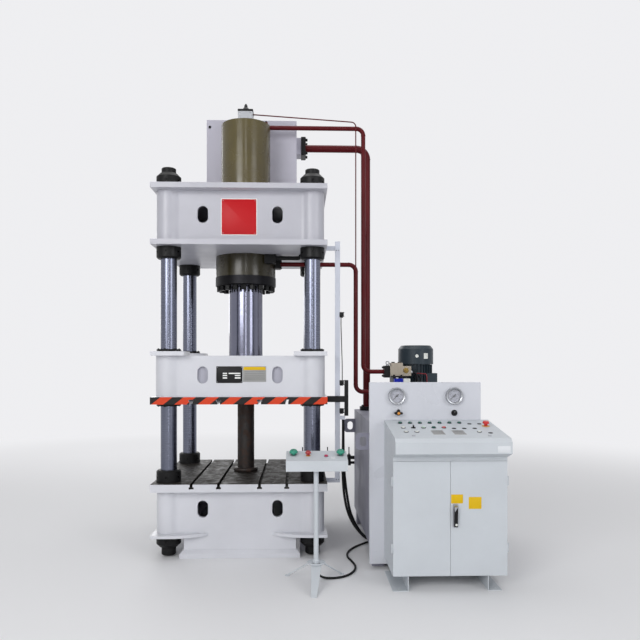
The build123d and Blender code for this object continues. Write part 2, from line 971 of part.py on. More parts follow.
prefill_tank.part.label = "prefill_tank"
export_step(prefill_tank.part, "parts/prefill_tank.step")

# Loose tubular prop between the table and the slide
with BuildPart() as prop_post:
    with BuildSketch(Plane.XZ):
        with BuildLine():
            rim = prop_collar_height / 2
            inner = prop_diameter / 2 - prop_wall
            outer = prop_diameter / 2 + prop_collar_step
            Polyline(
                (inner, table_top),
                (outer - rim / 2, table_top),
            )
            ThreePointArc(
                (outer - rim / 2, table_top),
                (outer, table_top + rim),
                (outer - rim / 2, table_top + 2 * rim),
            )
            Polyline(
                (outer - rim / 2, table_top + 2 * rim),
                (prop_diameter / 2, table_top + 2 * rim),
                (prop_diameter / 2, slide_bottom),
                (inner, slide_bottom),
                (inner, table_top),
            )
        make_face()
    revolve(axis=Axis.Z)
prop_post.part.label = "prop_post"
export_step(prop_post.part, "parts/prop_post.step")

# Forming line: from the cylinder head over and down to the manifold
forming_bore = forming_diameter - 2 * pipe_wall
forming_pipe = tube(
    (
        (forming_block_x1, forming_y, forming_z),
        (forming_x, forming_y, forming_z),
        (forming_x, forming_y, forming_bottom),
        (manifold_flange_x0, forming_y, forming_bottom),
    ),
    forming_diameter,
    forming_bore,
    forming_bend,
)
forming_pipe.label = "forming_pipe"
export_step(forming_pipe, "parts/forming_pipe.step")

# Suction line: from the prefill tank over and down to the reservoir top
suction_pipe = tube(
    (
        (prefill_x1 + prefill_neck + suction_flange, suction_y, suction_z),
        (suction_x, suction_y, suction_z),
        (suction_x, suction_y, reservoir_top + suction_foot),
    ),
    suction_diameter,
    suction_diameter - 2 * pipe_wall,
    suction_bend,
)
suction_pipe.label = "suction_pipe"
export_step(suction_pipe, "parts/suction_pipe.step")

# Return line from the collar port over and down to the manifold, with the thin
# pilot line that comes down from the top valve into its elbow
with BuildPart() as return_pipe:
    add(
        tube(
            (
                (collar_diameter / 2 + return_flange, return_y, return_z),
                (return_x, return_y, return_z),
                (return_x, return_y, return_bottom),
                (manifold_x0, return_y, return_bottom),
            ),
            return_diameter,
            return_diameter - 2 * pipe_wall,
            return_bend,
        )
    )
    add(
        tube(
            (
                (top_block_size / 2 + loose_fit, return_y, pilot_z),
                (return_x, return_y, pilot_z - pilot_drop),
                (return_x, return_y, return_z - return_diameter),
            ),
            pilot_diameter,
            0,
            pilot_bend,
        )
    )
return_pipe.part.label = "return_pipe"
export_step(return_pipe.part, "parts/return_pipe.step")

# Black lines: a drain under the beam that turns up into it, and two pipes from
# the back of the bed to the back of the reservoir
rear_starts = (plate_depth / 2, web_y)
with BuildPart() as black_pipes:
    add(
        tube(
            (
                (drain_block_x, drain_y, drain_z),
                (drain_end_x, drain_y, drain_z),
                (drain_end_x, drain_y, beam_bottom),
            ),
            drain_diameter,
            0,
            drain_bend,
        )
    )
    for z, size, start_y in zip(rear_lines_z, rear_diameter, rear_starts):
        add(
            tube(
                (
                    (rear_x0, start_y, z - rear_drop),
                    (rear_x0, rear_y, z - rear_drop),
                    (rear_x0 + rear_slant, rear_y, z),
                    (rear_x1, rear_y, z),
                    (rear_x1, reservoir_back, z),
                ),
                size,
                0,
                rear_bend,
            )
        )
black_pipes.part.label = "black_pipes"
export_step(black_pipes.part, "parts/black_pipes.step")


def square_flange(plane, size, depth, bore):
    """Square pipe flange with a bore, on a plane at its back."""
    with BuildPart() as flange:
        with BuildSketch(plane):
            RectangleRounded(size, size, flange_corner)
            Circle(bore / 2, mode=Mode.SUBTRACT)
        extrude(amount=depth)
    return flange.part


# Flanges and blocks at the ends of the pipes
with BuildPart() as pipe_flanges:
    for y, z, outer_x, size in (
        (return_y, return_z, collar_diameter / 2 + return_flange, return_flange_size),
        (drain_y, drain_z - drain_block_drop, drain_block_x, drain_block_size),
    ):
        with BuildSketch(Plane.YZ.offset(collar_diameter / 3)):
            with Locations((y, z)):
                Rectangle(size, size)
        extrude(amount=outer_x - collar_diameter / 3)
    with BuildSketch(Plane.XY.offset(collar_bottom)):
        Circle(collar_diameter / 2 + loose_fit)
    extrude(amount=beam_bottom - collar_bottom, mode=Mode.SUBTRACT)
    add(
        square_flange(
            Plane.YZ.offset(prefill_x1 + prefill_neck)
            * Location((suction_y, suction_z)),
            suction_flange_size,
            suction_flange,
            suction_diameter - 2 * pipe_wall,
        )
    )
    with BuildSketch(Plane.XY.offset(reservoir_top)):
        with Locations((suction_x, suction_y)):
            Circle(suction_foot_diameter / 2)
            Circle(suction_diameter / 2 - pipe_wall, mode=Mode.SUBTRACT)
    extrude(amount=suction_foot)
    with BuildSketch(Plane.XZ.offset(-forming_y - forming_block_size / 2)):
        with Locations(
            (
                (forming_block_x0 + forming_block_x1) / 2,
                barrel_top + (forming_rise + forming_block_above) / 2,
            )
        ):
            Rectangle(forming_block_size, forming_rise + forming_block_above)
    extrude(amount=forming_block_size)
    add(
        square_flange(
            Plane.YZ.offset(manifold_flange_x0) * Location((forming_y, forming_bottom)),
            manifold_flange_size,
            manifold_flange_depth,
            forming_bore,
        )
    )
pipe_flanges.part.label = "pipe_flanges"
export_step(pipe_flanges.part, "parts/pipe_flanges.step")

# Reservoir: sheet tank on feet, with lifting lugs on both sides
with BuildPart() as reservoir:
    res_centre = (
        (reservoir_x0 + reservoir_x1) / 2,
        (reservoir_front + reservoir_back) / 2,
    )
    res_width = reservoir_x1 - reservoir_x0
    res_depth = reservoir_back - reservoir_front
    with BuildSketch(Plane.XY.offset(reservoir_bottom)):
        with Locations(res_centre):
            Rectangle(res_width, res_depth)
    extrude(amount=reservoir_top - reservoir_bottom)
    with BuildSketch(Plane.XY.offset(reservoir_bottom + tank_sheet)):
        with Locations(res_centre):
            Rectangle(res_width - 2 * tank_sheet, res_depth - 2 * tank_sheet)
    extrude(
        amount=reservoir_top - reservoir_bottom - 2 * tank_sheet, mode=Mode.SUBTRACT
    )
    with BuildSketch(Plane.XY):
        for x in (reservoir_x0 + foot_side_inset, reservoir_x1 - foot_side_inset):
            for y in (reservoir_front + foot_end_inset, reservoir_back - foot_end_inset):
                with Locations((x, y)):
                    Rectangle(foot_width, foot_width)
    extrude(amount=reservoir_bottom)
    lug_z = reservoir_top - lug_drop + lug_height / 2
    for y in (reservoir_front + lug_front_inset, reservoir_back - lug_back_inset):
        with BuildSketch(Plane.XZ.offset(-y - lug_thickness / 2)):
            for side, edge in ((-1, reservoir_x0), (1, reservoir_x1)):
                middle = edge + side * lug_length / 2
                with Locations((middle, lug_z)):
                    RectangleRounded(lug_length, lug_height, lug_corner)
                with Locations((edge + side * lug_corner / 2, lug_z)):
                    Rectangle(lug_corner, lug_height)
                with Locations((middle - side * lug_hole_shift, lug_z)):
                    SlotOverall(
                        lug_hole_height, lug_hole_width, rotation=90, mode=Mode.SUBTRACT
                    )
        extrude(amount=lug_thickness)
    with BuildSketch(Plane.XY.offset(reservoir_top)):
        with Locations((motor_x, motor_y)):
            Circle(motor_body_diameter / 2)
        with Locations((suction_x, suction_y)):
            Circle(suction_diameter / 2 - pipe_wall)
    extrude(amount=-tank_sheet, mode=Mode.SUBTRACT)
    # Terminal boxes under the tank, where the conduits and the floor cable end
    with BuildSketch(Plane.XY.offset(conduit_box_bottom)):
        with Locations((terminal_x + terminal_width / 2, conduit_box_y)):
            Rectangle(terminal_width, terminal_depth)
    extrude(amount=reservoir_bottom - conduit_box_bottom)
    with BuildSketch(Plane.XY.offset(cable_box_bottom)):
        with Locations((terminal_x + terminal_width / 2, cable_box_y)):
            Rectangle(terminal_width, terminal_depth)
    extrude(amount=reservoir_bottom - cable_box_bottom)
reservoir.part.label = "reservoir"
export_step(reservoir.part, "parts/reservoir.step")

# Gauge panel: folded sheet that covers the front of the reservoir
with BuildPart() as gauge_panel:
    with BuildSketch(Plane.XZ.offset(-panel_front)):
        with Locations(((panel_x0 + panel_x1) / 2, (panel_bottom + panel_top) / 2)):
            Rectangle(panel_x1 - panel_x0, panel_top - panel_bottom)
    extrude(amount=-(reservoir_front - panel_front))
    with BuildSketch(Plane.XZ.offset(-reservoir_front)):
        for x in (panel_x0 + panel_sheet / 2, panel_x1 - panel_sheet / 2):
            with Locations((x, (panel_bottom + panel_top) / 2)):
                Rectangle(panel_sheet, panel_top - panel_bottom)
        with Locations(((panel_x0 + panel_x1) / 2, panel_top - panel_sheet / 2)):
            Rectangle(panel_x1 - panel_x0, panel_sheet)
    extrude(amount=-panel_return)
    # Seams between the sheets of the panel
    with BuildSketch(Plane.XZ.offset(-panel_front)):
        for z in panel_seams:
            with Locations(((panel_x0 + panel_x1) / 2, z)):
                Rectangle(panel_x1 - panel_x0, seam_width)
    extrude(amount=-seam_depth, mode=Mode.SUBTRACT)
gauge_panel.part.label = "gauge_panel"
export_step(gauge_panel.part, "parts/gauge_panel.step")

# Gauge cases: a bezel around a sunk dial
with BuildPart() as pressure_gauges:
    for x in gauge_x:
        face = Plane(
            origin=(x, panel_front, gauge_z), x_dir=(1, 0, 0), z_dir=(0, -1, 0)
        )
        with BuildSketch(face):
            Circle(gauge_diameter / 2)
        extrude(amount=gauge_depth)
        with BuildSketch(face.offset(gauge_depth - gauge_dial_depth)):
            Circle(gauge_diameter / 2 - gauge_rim)
        extrude(amount=gauge_depth, mode=Mode.SUBTRACT)
pressure_gauges.part.label = "pressure_gauges"
export_step(pressure_gauges.part, "parts/pressure_gauges.step")


def gauge_pointer(x):
    """Tapered pointer on its boss, at the low end of the scale."""
    start = Plane(
        origin=(x, panel_front - gauge_depth + gauge_dial_depth - side_gap, gauge_z),
        x_dir=(1, 0, 0),
        z_dir=(0, -1, 0),
    )
    with BuildPart() as pointer:
        with BuildSketch(start):
            Circle(pointer_boss / 2)
        extrude(amount=pointer_boss_height)
        with BuildSketch(start.offset(pointer_rise)):
            with BuildLine():
                reach = gauge_diameter / 2 - gauge_rim - pointer_clearance
                heading = Vector(reach, 0).rotate(Axis.Z, pointer_start)
                back = heading * -pointer_tail
                side = Vector(pointer_half_width, 0).rotate(Axis.Z, pointer_start + 90)
                Polyline(heading, back + side, back - side, close=True)
            make_face()
        extrude(amount=pointer_thickness)
    return pointer.part


pointer_left = gauge_pointer(gauge_x[0])
pointer_left.label = "pointer_left"
export_step(pointer_left, "parts/pointer_left.step")
pointer_right = gauge_pointer(gauge_x[1])
pointer_right.label = "pointer_right"
export_step(pointer_right, "parts/pointer_right.step")

# Gauge valve handle on the left, a lobed knob
knob_face = Plane(
    origin=(knob_x[0], panel_front - side_gap, knob_z), x_dir=(1, 0, 0), z_dir=(0, -1, 0)
)
with BuildPart() as gauge_valve_knob:
    with BuildSketch(knob_face):
        Circle(valve_stem_diameter / 2)
    extrude(amount=valve_stem_length)
    with BuildSketch(knob_face.offset(valve_stem_length)):
        Circle(valve_hub_diameter / 2)
        SlotOverall(valve_wing_length, valve_wing_width)
        with Locations((0, valve_lobe_rise)):
            SlotOverall(valve_lobe_height, valve_lobe_width, rotation=90)
    extrude(amount=valve_handle_depth)
gauge_valve_knob.part.label = "gauge_valve_knob"
export_step(gauge_valve_knob.part, "parts/gauge_valve_knob.step")

# Round knob on the right
knob_face = Plane(
    origin=(knob_x[1], panel_front - side_gap, knob_z), x_dir=(1, 0, 0), z_dir=(0, -1, 0)
)
with BuildPart() as panel_knob:
    with BuildSketch(knob_face):
        Circle(knob_skirt_diameter / 2)
    extrude(amount=knob_skirt_height)
    with BuildSketch(knob_face.offset(knob_skirt_height)):
        Circle(knob_diameter / 2)
    extrude(amount=knob_height)
panel_knob.part.label = "panel_knob"
export_step(panel_knob.part, "parts/panel_knob.step")

# Valve manifold: lower block on the reservoir and a stepped head on it
with BuildPart() as valve_manifold:
    with BuildSketch(Plane.XY.offset(reservoir_top)):
        with Locations(
            ((manifold_x0 + manifold_x1) / 2, (manifold_y0 + manifold_y1) / 2)
        ):
            Rectangle(manifold_x1 - manifold_x0, manifold_y1 - manifold_y0)
    extrude(amount=manifold_top - reservoir_top)
    with BuildSketch(Plane.XY.offset(manifold_top)):
        with Locations(((head_x0 + head_x1) / 2, forming_y)):
            Rectangle(head_x1 - head_x0, head_depth)
    extrude(amount=head_top - manifold_top)
    with BuildSketch(Plane.XY.offset(head_top)):
        with Locations((head_x0 + head_step_inset + head_step_width / 2, forming_y)):
            Rectangle(head_step_width, head_depth - 2 * head_step_inset)
    extrude(amount=head_step)
    # Solenoid valve on the front
    with BuildSketch(Plane.XZ.offset(-manifold_y0)):
        with Locations((manifold_x0 + solenoid_inset, manifold_top - solenoid_drop)):
            Rectangle(solenoid_width, solenoid_height)
    extrude(amount=solenoid_depth)
    with BuildSketch(Plane.XZ.offset(-manifold_y0)):
        with Locations((manifold_x0 + connector_inset, manifold_top - connector_drop)):
            Rectangle(connector_width, connector_height)
    extrude(amount=connector_depth)
valve_manifold.part.label = "valve_manifold"
export_step(valve_manifold.part, "parts/valve_manifold.step")

# Motor: flanged bell, finned body and terminal box
with BuildPart() as motor:
    bell_top = reservoir_top + motor_bell_height
    with BuildSketch(Plane.XY.offset(reservoir_top)):
        with Locations((motor_x, motor_y)):
            Circle(motor_flange_diameter / 2)
    extrude(amount=motor_flange_thickness)
    with BuildSketch(Plane.XY.offset(reservoir_top + motor_flange_thickness)):
        with Locations((motor_x, motor_y)):
            Circle(motor_body_diameter / 2 - motor_bell_neck)
    extrude(amount=motor_bell_height - 2 * motor_flange_thickness)
    with BuildSketch(Plane.XY.offset(bell_top - motor_flange_thickness)):
        with Locations((motor_x, motor_y)):
            Circle(motor_flange_diameter / 2)
    extrude(amount=motor_flange_thickness)
    with BuildSketch(Plane.XY.offset(bell_top)):
        with Locations((motor_x, motor_y)):
            Circle(motor_body_diameter / 2)
    extrude(amount=motor_cover_bottom - bell_top)
    with BuildSketch(Plane.XY.offset(motor_cover_bottom - end_shield)):
        with Locations((motor_x, motor_y)):
            Circle(motor_cover_diameter / 2)
    extrude(amount=end_shield)
    with BuildSketch(Plane.XY.offset(bell_top + motor_fin_start)):
        with Locations((motor_x, motor_y)):
            with PolarLocations(0, motor_fin_count):
                with Locations((motor_fin_diameter / 4, 0)):
                    Rectangle(motor_fin_diameter / 2, motor_fin_thickness)
    extrude(amount=motor_cover_bottom - bell_top - motor_fin_start - motor_fin_gap)
    with BuildSketch(Plane.XY.offset(bell_top + motor_box_rise)):
        with Locations((motor_x + motor_body_diameter / 2, motor_y - motor_box_shift)):
            Rectangle(motor_box_width, motor_box_depth)
    extrude(amount=motor_box_height)
motor.part.label = "motor"
export_step(motor.part, "parts/motor.step")

# Fan cover: thin dome over the fan with air slots in its top
with BuildPart() as fan_cover:
    with BuildSketch(Plane.XY.offset(motor_cover_bottom)):
        with Locations((motor_x, motor_y)):
            Circle(motor_cover_diameter / 2)
    extrude(amount=motor_top - motor_cover_bottom)
    rim = fan_cover.faces().sort_by(Axis.Z)[-1].edges()
    chamfer(rim, motor_cover_chamfer, motor_cover_shoulder)
    with BuildSketch(Plane.XY.offset(motor_cover_bottom)):
        with Locations((motor_x, motor_y)):
            Circle(motor_cover_diameter / 2 - motor_cover_sheet)
    extrude(amount=motor_cover_height - motor_cover_chamfer, mode=Mode.SUBTRACT)
    with BuildSketch(Plane.XY.offset(motor_cover_bottom)):
        with Locations((motor_x, motor_y)):
            Circle(motor_cover_diameter / 2 - motor_cover_chamfer - motor_cover_sheet)
    extrude(amount=motor_cover_height - motor_cover_sheet, mode=Mode.SUBTRACT)
    with BuildSketch(Plane.XY.offset(motor_top)):
        with Locations((motor_x, motor_y)):
            with PolarLocations(motor_slot_radius, motor_slot_count):
                Rectangle(motor_slot_length, motor_slot_width)
    extrude(amount=-2 * motor_cover_sheet, mode=Mode.SUBTRACT)
fan_cover.part.label = "fan_cover"
export_step(fan_cover.part, "parts/fan_cover.step")

# Fan on the motor shaft, under its cover
with BuildPart() as motor_fan:
    with BuildSketch(Plane.XY.offset(motor_cover_bottom + side_gap)):
        with Locations((motor_x, motor_y)):
            Circle(fan_hub_diameter / 2)
    extrude(amount=fan_hub_height)
    with BuildSketch(Plane.XY.offset(motor_cover_bottom + fan_blade_rise)):
        with Locations((motor_x, motor_y)):
            with PolarLocations(fan_blade_radius, fan_blade_count):
                Rectangle(fan_blade_length, fan_blade_thickness)
    extrude(amount=fan_blade_height)
motor_fan.part.label = "motor_fan"
export_step(motor_fan.part, "parts/motor_fan.step")

# Switch rail on two brackets, one on the beam and one on the table plate
with BuildPart() as switch_rail:
    with BuildSketch(Plane.XY.offset(rail_bottom)):
        with Locations((rail_x0 + rail_width / 2, rail_middle_y)):
            Rectangle(rail_width, rail_depth)
    extrude(amount=rail_top - rail_bottom)
    for z in (beam_bottom, table_top - bracket_height):
        with BuildSketch(Plane.XY.offset(z)):
            with Locations(
                ((plate_width / 2 + rail_x1) / 2, rail_back + bracket_thickness / 2)
            ):
                Rectangle(rail_x1 - plate_width / 2, bracket_thickness)
        extrude(amount=bracket_height)
    # Block below the lowest switch that holds the two conduits
    with BuildSketch(Plane.XY.offset(conduit_top)):
        with Locations((rail_x1 + conduit_block_x, rail_middle_y - conduit_block_y)):
            Rectangle(conduit_block_width, conduit_block_depth)
    extrude(amount=conduit_block_height)
switch_rail.part.label = "switch_rail"
export_step(switch_rail.part, "parts/switch_rail.step")

# Proximity switches on the edge of the rail
with BuildPart() as proximity_switches:
    for z in switch_z:
        with BuildSketch(Plane.YZ.offset(rail_x1)):
            with Locations((rail_middle_y, z)):
                Rectangle(switch_width, switch_height)
        extrude(amount=switch_body)
        with BuildSketch(Plane.YZ.offset(rail_x1 + switch_body)):
            with Locations((rail_middle_y, z)):
                Circle(switch_nose_diameter / 2)
        extrude(amount=switch_nose)
proximity_switches.part.label = "proximity_switches"
export_step(proximity_switches.part, "parts/proximity_switches.step")

# Cam arm on the side of the slide plate, carrying an angle past the switches
with BuildPart() as cam_arm:
    with BuildSketch(Plane.XY.offset(slide_bottom + cam_margin)):
        with Locations((plate_width / 2 + cam_sheet / 2, cam_front + cam_arm_y)):
            Rectangle(cam_sheet, cam_pad_depth)
        with Locations(((plate_width / 2 + cam_x0) / 2, cam_front + cam_arm_y)):
            Rectangle(cam_x0 - plate_width / 2, cam_arm_depth)
    extrude(amount=slide_plate - 2 * cam_margin)
    with BuildSketch(Plane.XY.offset(cam_bottom)):
        with Locations((cam_x0 + cam_width / 2, cam_front + cam_sheet / 2)):
            Rectangle(cam_width, cam_sheet)
        with Locations((cam_x0 + cam_sheet / 2, cam_front + cam_depth / 2)):
            Rectangle(cam_sheet, cam_depth)
    extrude(amount=cam_top - cam_bottom)
cam_arm.part.label = "cam_arm"
export_step(cam_arm.part, "parts/cam_arm.step")

# Control desk: folded sheet cabinet with a sloped top, open at the front
desk_width = desk_x1 - desk_x0
frame_front = desk_front + door_depth
desk_slope = atan2(desk_back_z - desk_edge_z, desk_back - desk_edge_y)
desk_plane = Plane(
    origin=(0, desk_edge_y, desk_edge_z),
    x_dir=(1, 0, 0),
    z_dir=(0, -sin(desk_slope), cos(desk_slope)),
)
hinge_axis_y = desk_front + door_depth / 2
desk_column_1 = desk_x0 + desk_column_inset
push_places = [
    (desk_column_1 + i * desk_pitch, desk_row_1) for i in range(desk_row_count)
]
push_places.append((desk_column_1 + 3 * desk_pitch, desk_row_2))
selector_place = (desk_column_1 + desk_pitch, desk_row_2)
estop_place = (desk_x1 - estop_side, estop_up)
lamp_places = [
    (desk_column_1, desk_row_2),
    (desk_column_1 + 2 * desk_pitch, desk_row_2),
    (desk_column_1 + 4 * desk_pitch, desk_row_2),
]
with BuildPart() as cabinet:
    with BuildSketch(Plane.YZ.offset(desk_x0)) as side:
        with BuildLine():
            Polyline(
                (frame_front, desk_bottom),
                (frame_front, door_top + door_gap),
                (desk_front, door_top + door_gap),
                (desk_front, door_top + desk_fascia),
                (desk_lip_front, desk_lip_bottom),
                (desk_lip_front, desk_lip_top),
                (desk_edge_y, desk_edge_z),
                (desk_back, desk_back_z),
                (desk_back, desk_bottom),
                close=True,
            )
        make_face()
    extrude(amount=desk_width)
    with BuildSketch(Plane.YZ.offset(desk_x0 + desk_sheet)):
        add(side.sketch_local)
        offset(amount=-desk_sheet, kind=Kind.INTERSECTION, mode=Mode.REPLACE)
    extrude(amount=desk_width - 2 * desk_sheet, mode=Mode.SUBTRACT)
    with BuildSketch(Plane.XZ.offset(-frame_front)):
        with Locations((door_middle, (desk_bottom + door_top) / 2)):
            Rectangle(
                desk_width - 2 * desk_opening_margin,
                door_top - desk_bottom - 2 * desk_opening_margin,
            )
    extrude(amount=-2 * desk_sheet, mode=Mode.SUBTRACT)
    with BuildSketch(desk_plane):
        with Locations(*push_places, selector_place):
            Circle(bezel_diameter / 2)
        with Locations(*lamp_places):
            Circle(bezel_diameter / 2)
        with Locations(estop_place):
            Circle(estop_bezel / 2)
    extrude(amount=bezel_height)
    with BuildSketch(desk_plane.offset(bezel_height)):
        with Locations(*push_places, selector_place):
            Circle(button_diameter / 2 + slide_fit)
        with Locations(estop_place):
            Circle(stem_diameter / 2 + slide_fit)
    extrude(amount=-bezel_height - 2 * desk_sheet, mode=Mode.SUBTRACT)
    # Domed lamps
    with BuildSketch(desk_plane.offset(bezel_height)):
        with Locations(*lamp_places):
            Circle(button_diameter / 2)
    extrude(amount=lamp_height)
    # Two angles along its depth as feet, with anchor holes
    for x0, x1, web_at, hole_at in (
        (
            desk_x0 - foot_left_out,
            desk_x0 + foot_left_in,
            desk_x0 + foot_left_in - foot_sheet / 2,
            desk_x0 + anchor_left,
        ),
        (
            desk_x1 - foot_right_in,
            desk_x1 - foot_right_out,
            desk_x1 - foot_right_in + foot_sheet / 2,
            desk_x1 - anchor_right,
        ),
    ):
        with BuildSketch(Plane.XY):
            with Locations(((x0 + x1) / 2, (foot_front + foot_back) / 2)):
                Rectangle(x1 - x0, foot_back - foot_front)
            with Locations(
                (hole_at, foot_front + anchor_front_inset),
                (hole_at, foot_back - anchor_back_inset),
            ):
                Circle(anchor_diameter / 2, mode=Mode.SUBTRACT)
        extrude(amount=foot_sheet)
        with BuildSketch(Plane.XY):
            with Locations((web_at, (foot_front + foot_back) / 2)):
                Rectangle(foot_sheet, foot_back - foot_front)
        extrude(amount=desk_bottom)
    # Lower hinge halves with their pins, on both side walls
    for hinge_x, wall_x in (
        (desk_x0 - hinge_out, desk_x0),
        (desk_x1 + hinge_out, desk_x1),
    ):
        for z in hinge_z:
            with BuildSketch(Plane.XY.offset(z)):
                with Locations((hinge_x, hinge_axis_y)):
                    Circle(hinge_diameter / 2)
                with Locations(((hinge_x + wall_x) / 2, hinge_axis_y + hinge_leaf / 2)):
                    Rectangle(hinge_out, hinge_leaf)
            extrude(amount=hinge_height)
            with BuildSketch(Plane.XY.offset(z + hinge_height)):
                with Locations((hinge_x, hinge_axis_y)):
                    Circle(hinge_pin / 2)
            extrude(amount=hinge_height - hinge_pin_short)
cabinet.part.label = "cabinet"
export_step(cabinet.part, "parts/cabinet.step")


def door(edge_x, free_x, outward):
    """Sheet door folded back on all four sides, with its two hinge halves."""
    middle = (edge_x + free_x) / 2
    width = abs(edge_x - free_x)
    height = door_top - desk_bottom - door_gap
    hinge_x = edge_x + outward * hinge_out
    with BuildPart() as leaf:
        with BuildSketch(Plane.XZ.offset(-desk_front)):
            with Locations((middle, (door_top + desk_bottom + door_gap) / 2)):
                Rectangle(width, height)
        extrude(amount=-(door_depth - side_gap))
        with BuildSketch(Plane.XZ.offset(-desk_front - door_sheet)):
            with Locations((middle, (door_top + desk_bottom + door_gap) / 2)):
                Rectangle(width - 2 * door_sheet, height - 2 * door_sheet)
        extrude(amount=-door_depth, mode=Mode.SUBTRACT)
        for z in hinge_z:
            foot = z + hinge_height + side_gap
            with BuildSketch(Plane.XY.offset(foot)):
                with Locations((hinge_x, hinge_axis_y)):
                    Circle(hinge_diameter / 2)
                with Locations(((hinge_x + edge_x) / 2, hinge_axis_y)):
                    Rectangle(hinge_out, hinge_door_leaf)
                with Locations((hinge_x, hinge_axis_y)):
                    Circle(hinge_pin / 2 + slide_fit, mode=Mode.SUBTRACT)
            extrude(amount=hinge_height)
    return leaf.part


door_left = door(desk_x0, door_middle - door_split, -1)
door_left.label = "door_left"
export_step(door_left, "parts/door_left.step")

with BuildPart() as door_right:
    add(door(desk_x1, door_middle + door_split, 1))
    with BuildSketch(Plane.XZ.offset(-desk_front)):
        with Locations((handle_x, (handle_top + handle_bottom) / 2)):
            RectangleRounded(handle_width, handle_height, handle_corner)
    extrude(amount=handle_plate)
door_right.part.label = "door_right"
export_step(door_right.part, "parts/door_right.step")

# Handle on the right door: a turning hub and the lever that lifts on it
hub_z = handle_top - hub_inset
with BuildPart() as handle_hub:
    with BuildSketch(Plane.XZ.offset(-desk_front + handle_plate + side_gap)):
        with Locations((handle_x, hub_z)):
            Circle(hub_diameter / 2)
    extrude(amount=hub_height)
handle_hub.part.label = "handle_hub"
export_step(handle_hub.part, "parts/handle_hub.step")

with BuildPart() as handle_lever:
    with BuildSketch(Plane.YZ.offset(handle_x - lever_width / 2)):
        with BuildLine():
            lever_y = desk_front - handle_plate - hub_height - 2 * side_gap
            Polyline(
                (lever_y, hub_z + hub_diameter / 2),
                (lever_y - lever_bulge, hub_z + hub_diameter / 4),
                (lever_y - lever_bulge, hub_z - hub_diameter),
                (lever_y - lever_bulge / 2, handle_bottom + handle_corner),
                (lever_y, handle_bottom + handle_corner / 2),
                close=True,
            )
        make_face()
    extrude(amount=lever_width)
handle_lever.part.label = "handle_lever"
export_step(handle_lever.part, "parts/handle_lever.step")


def push_button(plane, place, height):
    """Round cap whose stem goes down through the panel."""
    with BuildPart() as cap:
        with BuildSketch(plane.offset(-desk_sheet)):
            with Locations(place):
                Circle(button_diameter / 2)
        extrude(amount=desk_sheet + height)
        chamfer(cap.edges().group_by(Axis.Z)[-1], button_chamfer)
    return cap.part


for number, place in enumerate(push_places):
    desk_button = push_button(desk_plane, place, bezel_height + button_rise)
    desk_button.label = f"desk_button_{number + 1}"
    export_step(desk_button, f"parts/desk_button_{number + 1}.step")

with BuildPart() as selector:
    with BuildSketch(desk_plane.offset(-desk_sheet)):
        with Locations(selector_place):
            Circle(button_diameter / 2)
    extrude(amount=desk_sheet + bezel_height + selector_skirt)
    with BuildSketch(desk_plane.offset(bezel_height + selector_skirt)):
        with Locations(selector_place):
            SlotOverall(selector_length, selector_width, rotation=90)
    extrude(amount=selector_rise)
selector.part.label = "selector"
export_step(selector.part, "parts/selector.step")


def mushroom(plane, place, head_diameter, rise, thickness):
    """Mushroom head on a stem that goes down through the panel."""
    with BuildPart() as head:
        with BuildSketch(plane.offset(-desk_sheet)):
            with Locations(place):
                Circle(stem_diameter / 2)
        extrude(amount=desk_sheet + rise)
        with BuildSketch(plane.offset(rise)):
            with Locations(place):
                Circle(head_diameter / 2)
        extrude(amount=thickness)
        rims = head.edges().filter_by(GeomType.CIRCLE).filter_by(
            lambda e: abs(e.radius - head_diameter / 2) < 0.01
        )
        chamfer(
            rims.sort_by(Axis.Z)[-1],
            thickness * mushroom_edge_drop,
            head_diameter * mushroom_edge_width,
        )
    return head.part


desk_estop = mushroom(
    desk_plane, estop_place, estop_diameter, estop_rise, estop_thickness
)
desk_estop.label = "desk_estop"
export_step(desk_estop, "parts/desk_estop.step")

# Two-hand stand: base disc with a folded front leg and two rod legs
with BuildPart() as stand_base:
    with BuildSketch(Plane.XY.offset(stand_disc_z)):
        with Locations((stand_x, stand_y)):
            Circle(stand_disc_diameter / 2)
            Circle(post_diameter / 2 + loose_fit, mode=Mode.SUBTRACT)
            with Locations((-stand_bolt_x, -stand_bolt_y), (stand_bolt_x, -stand_bolt_y)):
                Circle(stand_bolt_hole / 2, mode=Mode.SUBTRACT)
    extrude(amount=stand_disc_thickness)
    # Front leg, a tapered strip that slopes to the floor
    leg_top = stand_disc_z - front_leg_sheet / 2
    with BuildSketch(Plane.XZ.offset(-stand_y + front_leg_start)):
        with Locations((stand_x, leg_top)):
            Rectangle(front_leg_root, front_leg_sheet)
    with BuildSketch(Plane.XZ.offset(-stand_y - front_tip[1])):
        with Locations((stand_x + front_tip[0], front_leg_sheet / 2)):
            Rectangle(front_leg_end, front_leg_sheet)
    loft()
    for tip in rear_tips:
        heading = Vector(*tip).normalized() * rear_leg_start
        with BuildLine() as leg_line:
            Line(
                (stand_x + heading.X, stand_y + heading.Y, leg_top),
                (stand_x + tip[0], stand_y + tip[1], rear_leg_diameter / 2 + side_gap),
            )
        with BuildSketch(Plane(origin=leg_line.line @ 0, z_dir=leg_line.line % 0)):
            Circle(rear_leg_diameter / 2)
        sweep(path=leg_line.line)
        with BuildSketch(Plane.XY):
            with Locations((stand_x + tip[0], stand_y + tip[1])):
                Ellipse(*rear_foot_radii)
        extrude(amount=rear_foot_height)
stand_base.part.label = "stand_base"
export_step(stand_base.part, "parts/stand_base.step")

with BuildPart() as stand_post:
    with BuildSketch(Plane.XY.offset(stand_disc_z - post_below_disc)):
        with Locations((stand_x, stand_y)):
            Circle(post_diameter / 2)
    extrude(amount=box_bottom - stand_disc_z + post_below_disc)
stand_post.part.label = "stand_post"
export_step(stand_post.part, "parts/stand_post.step")

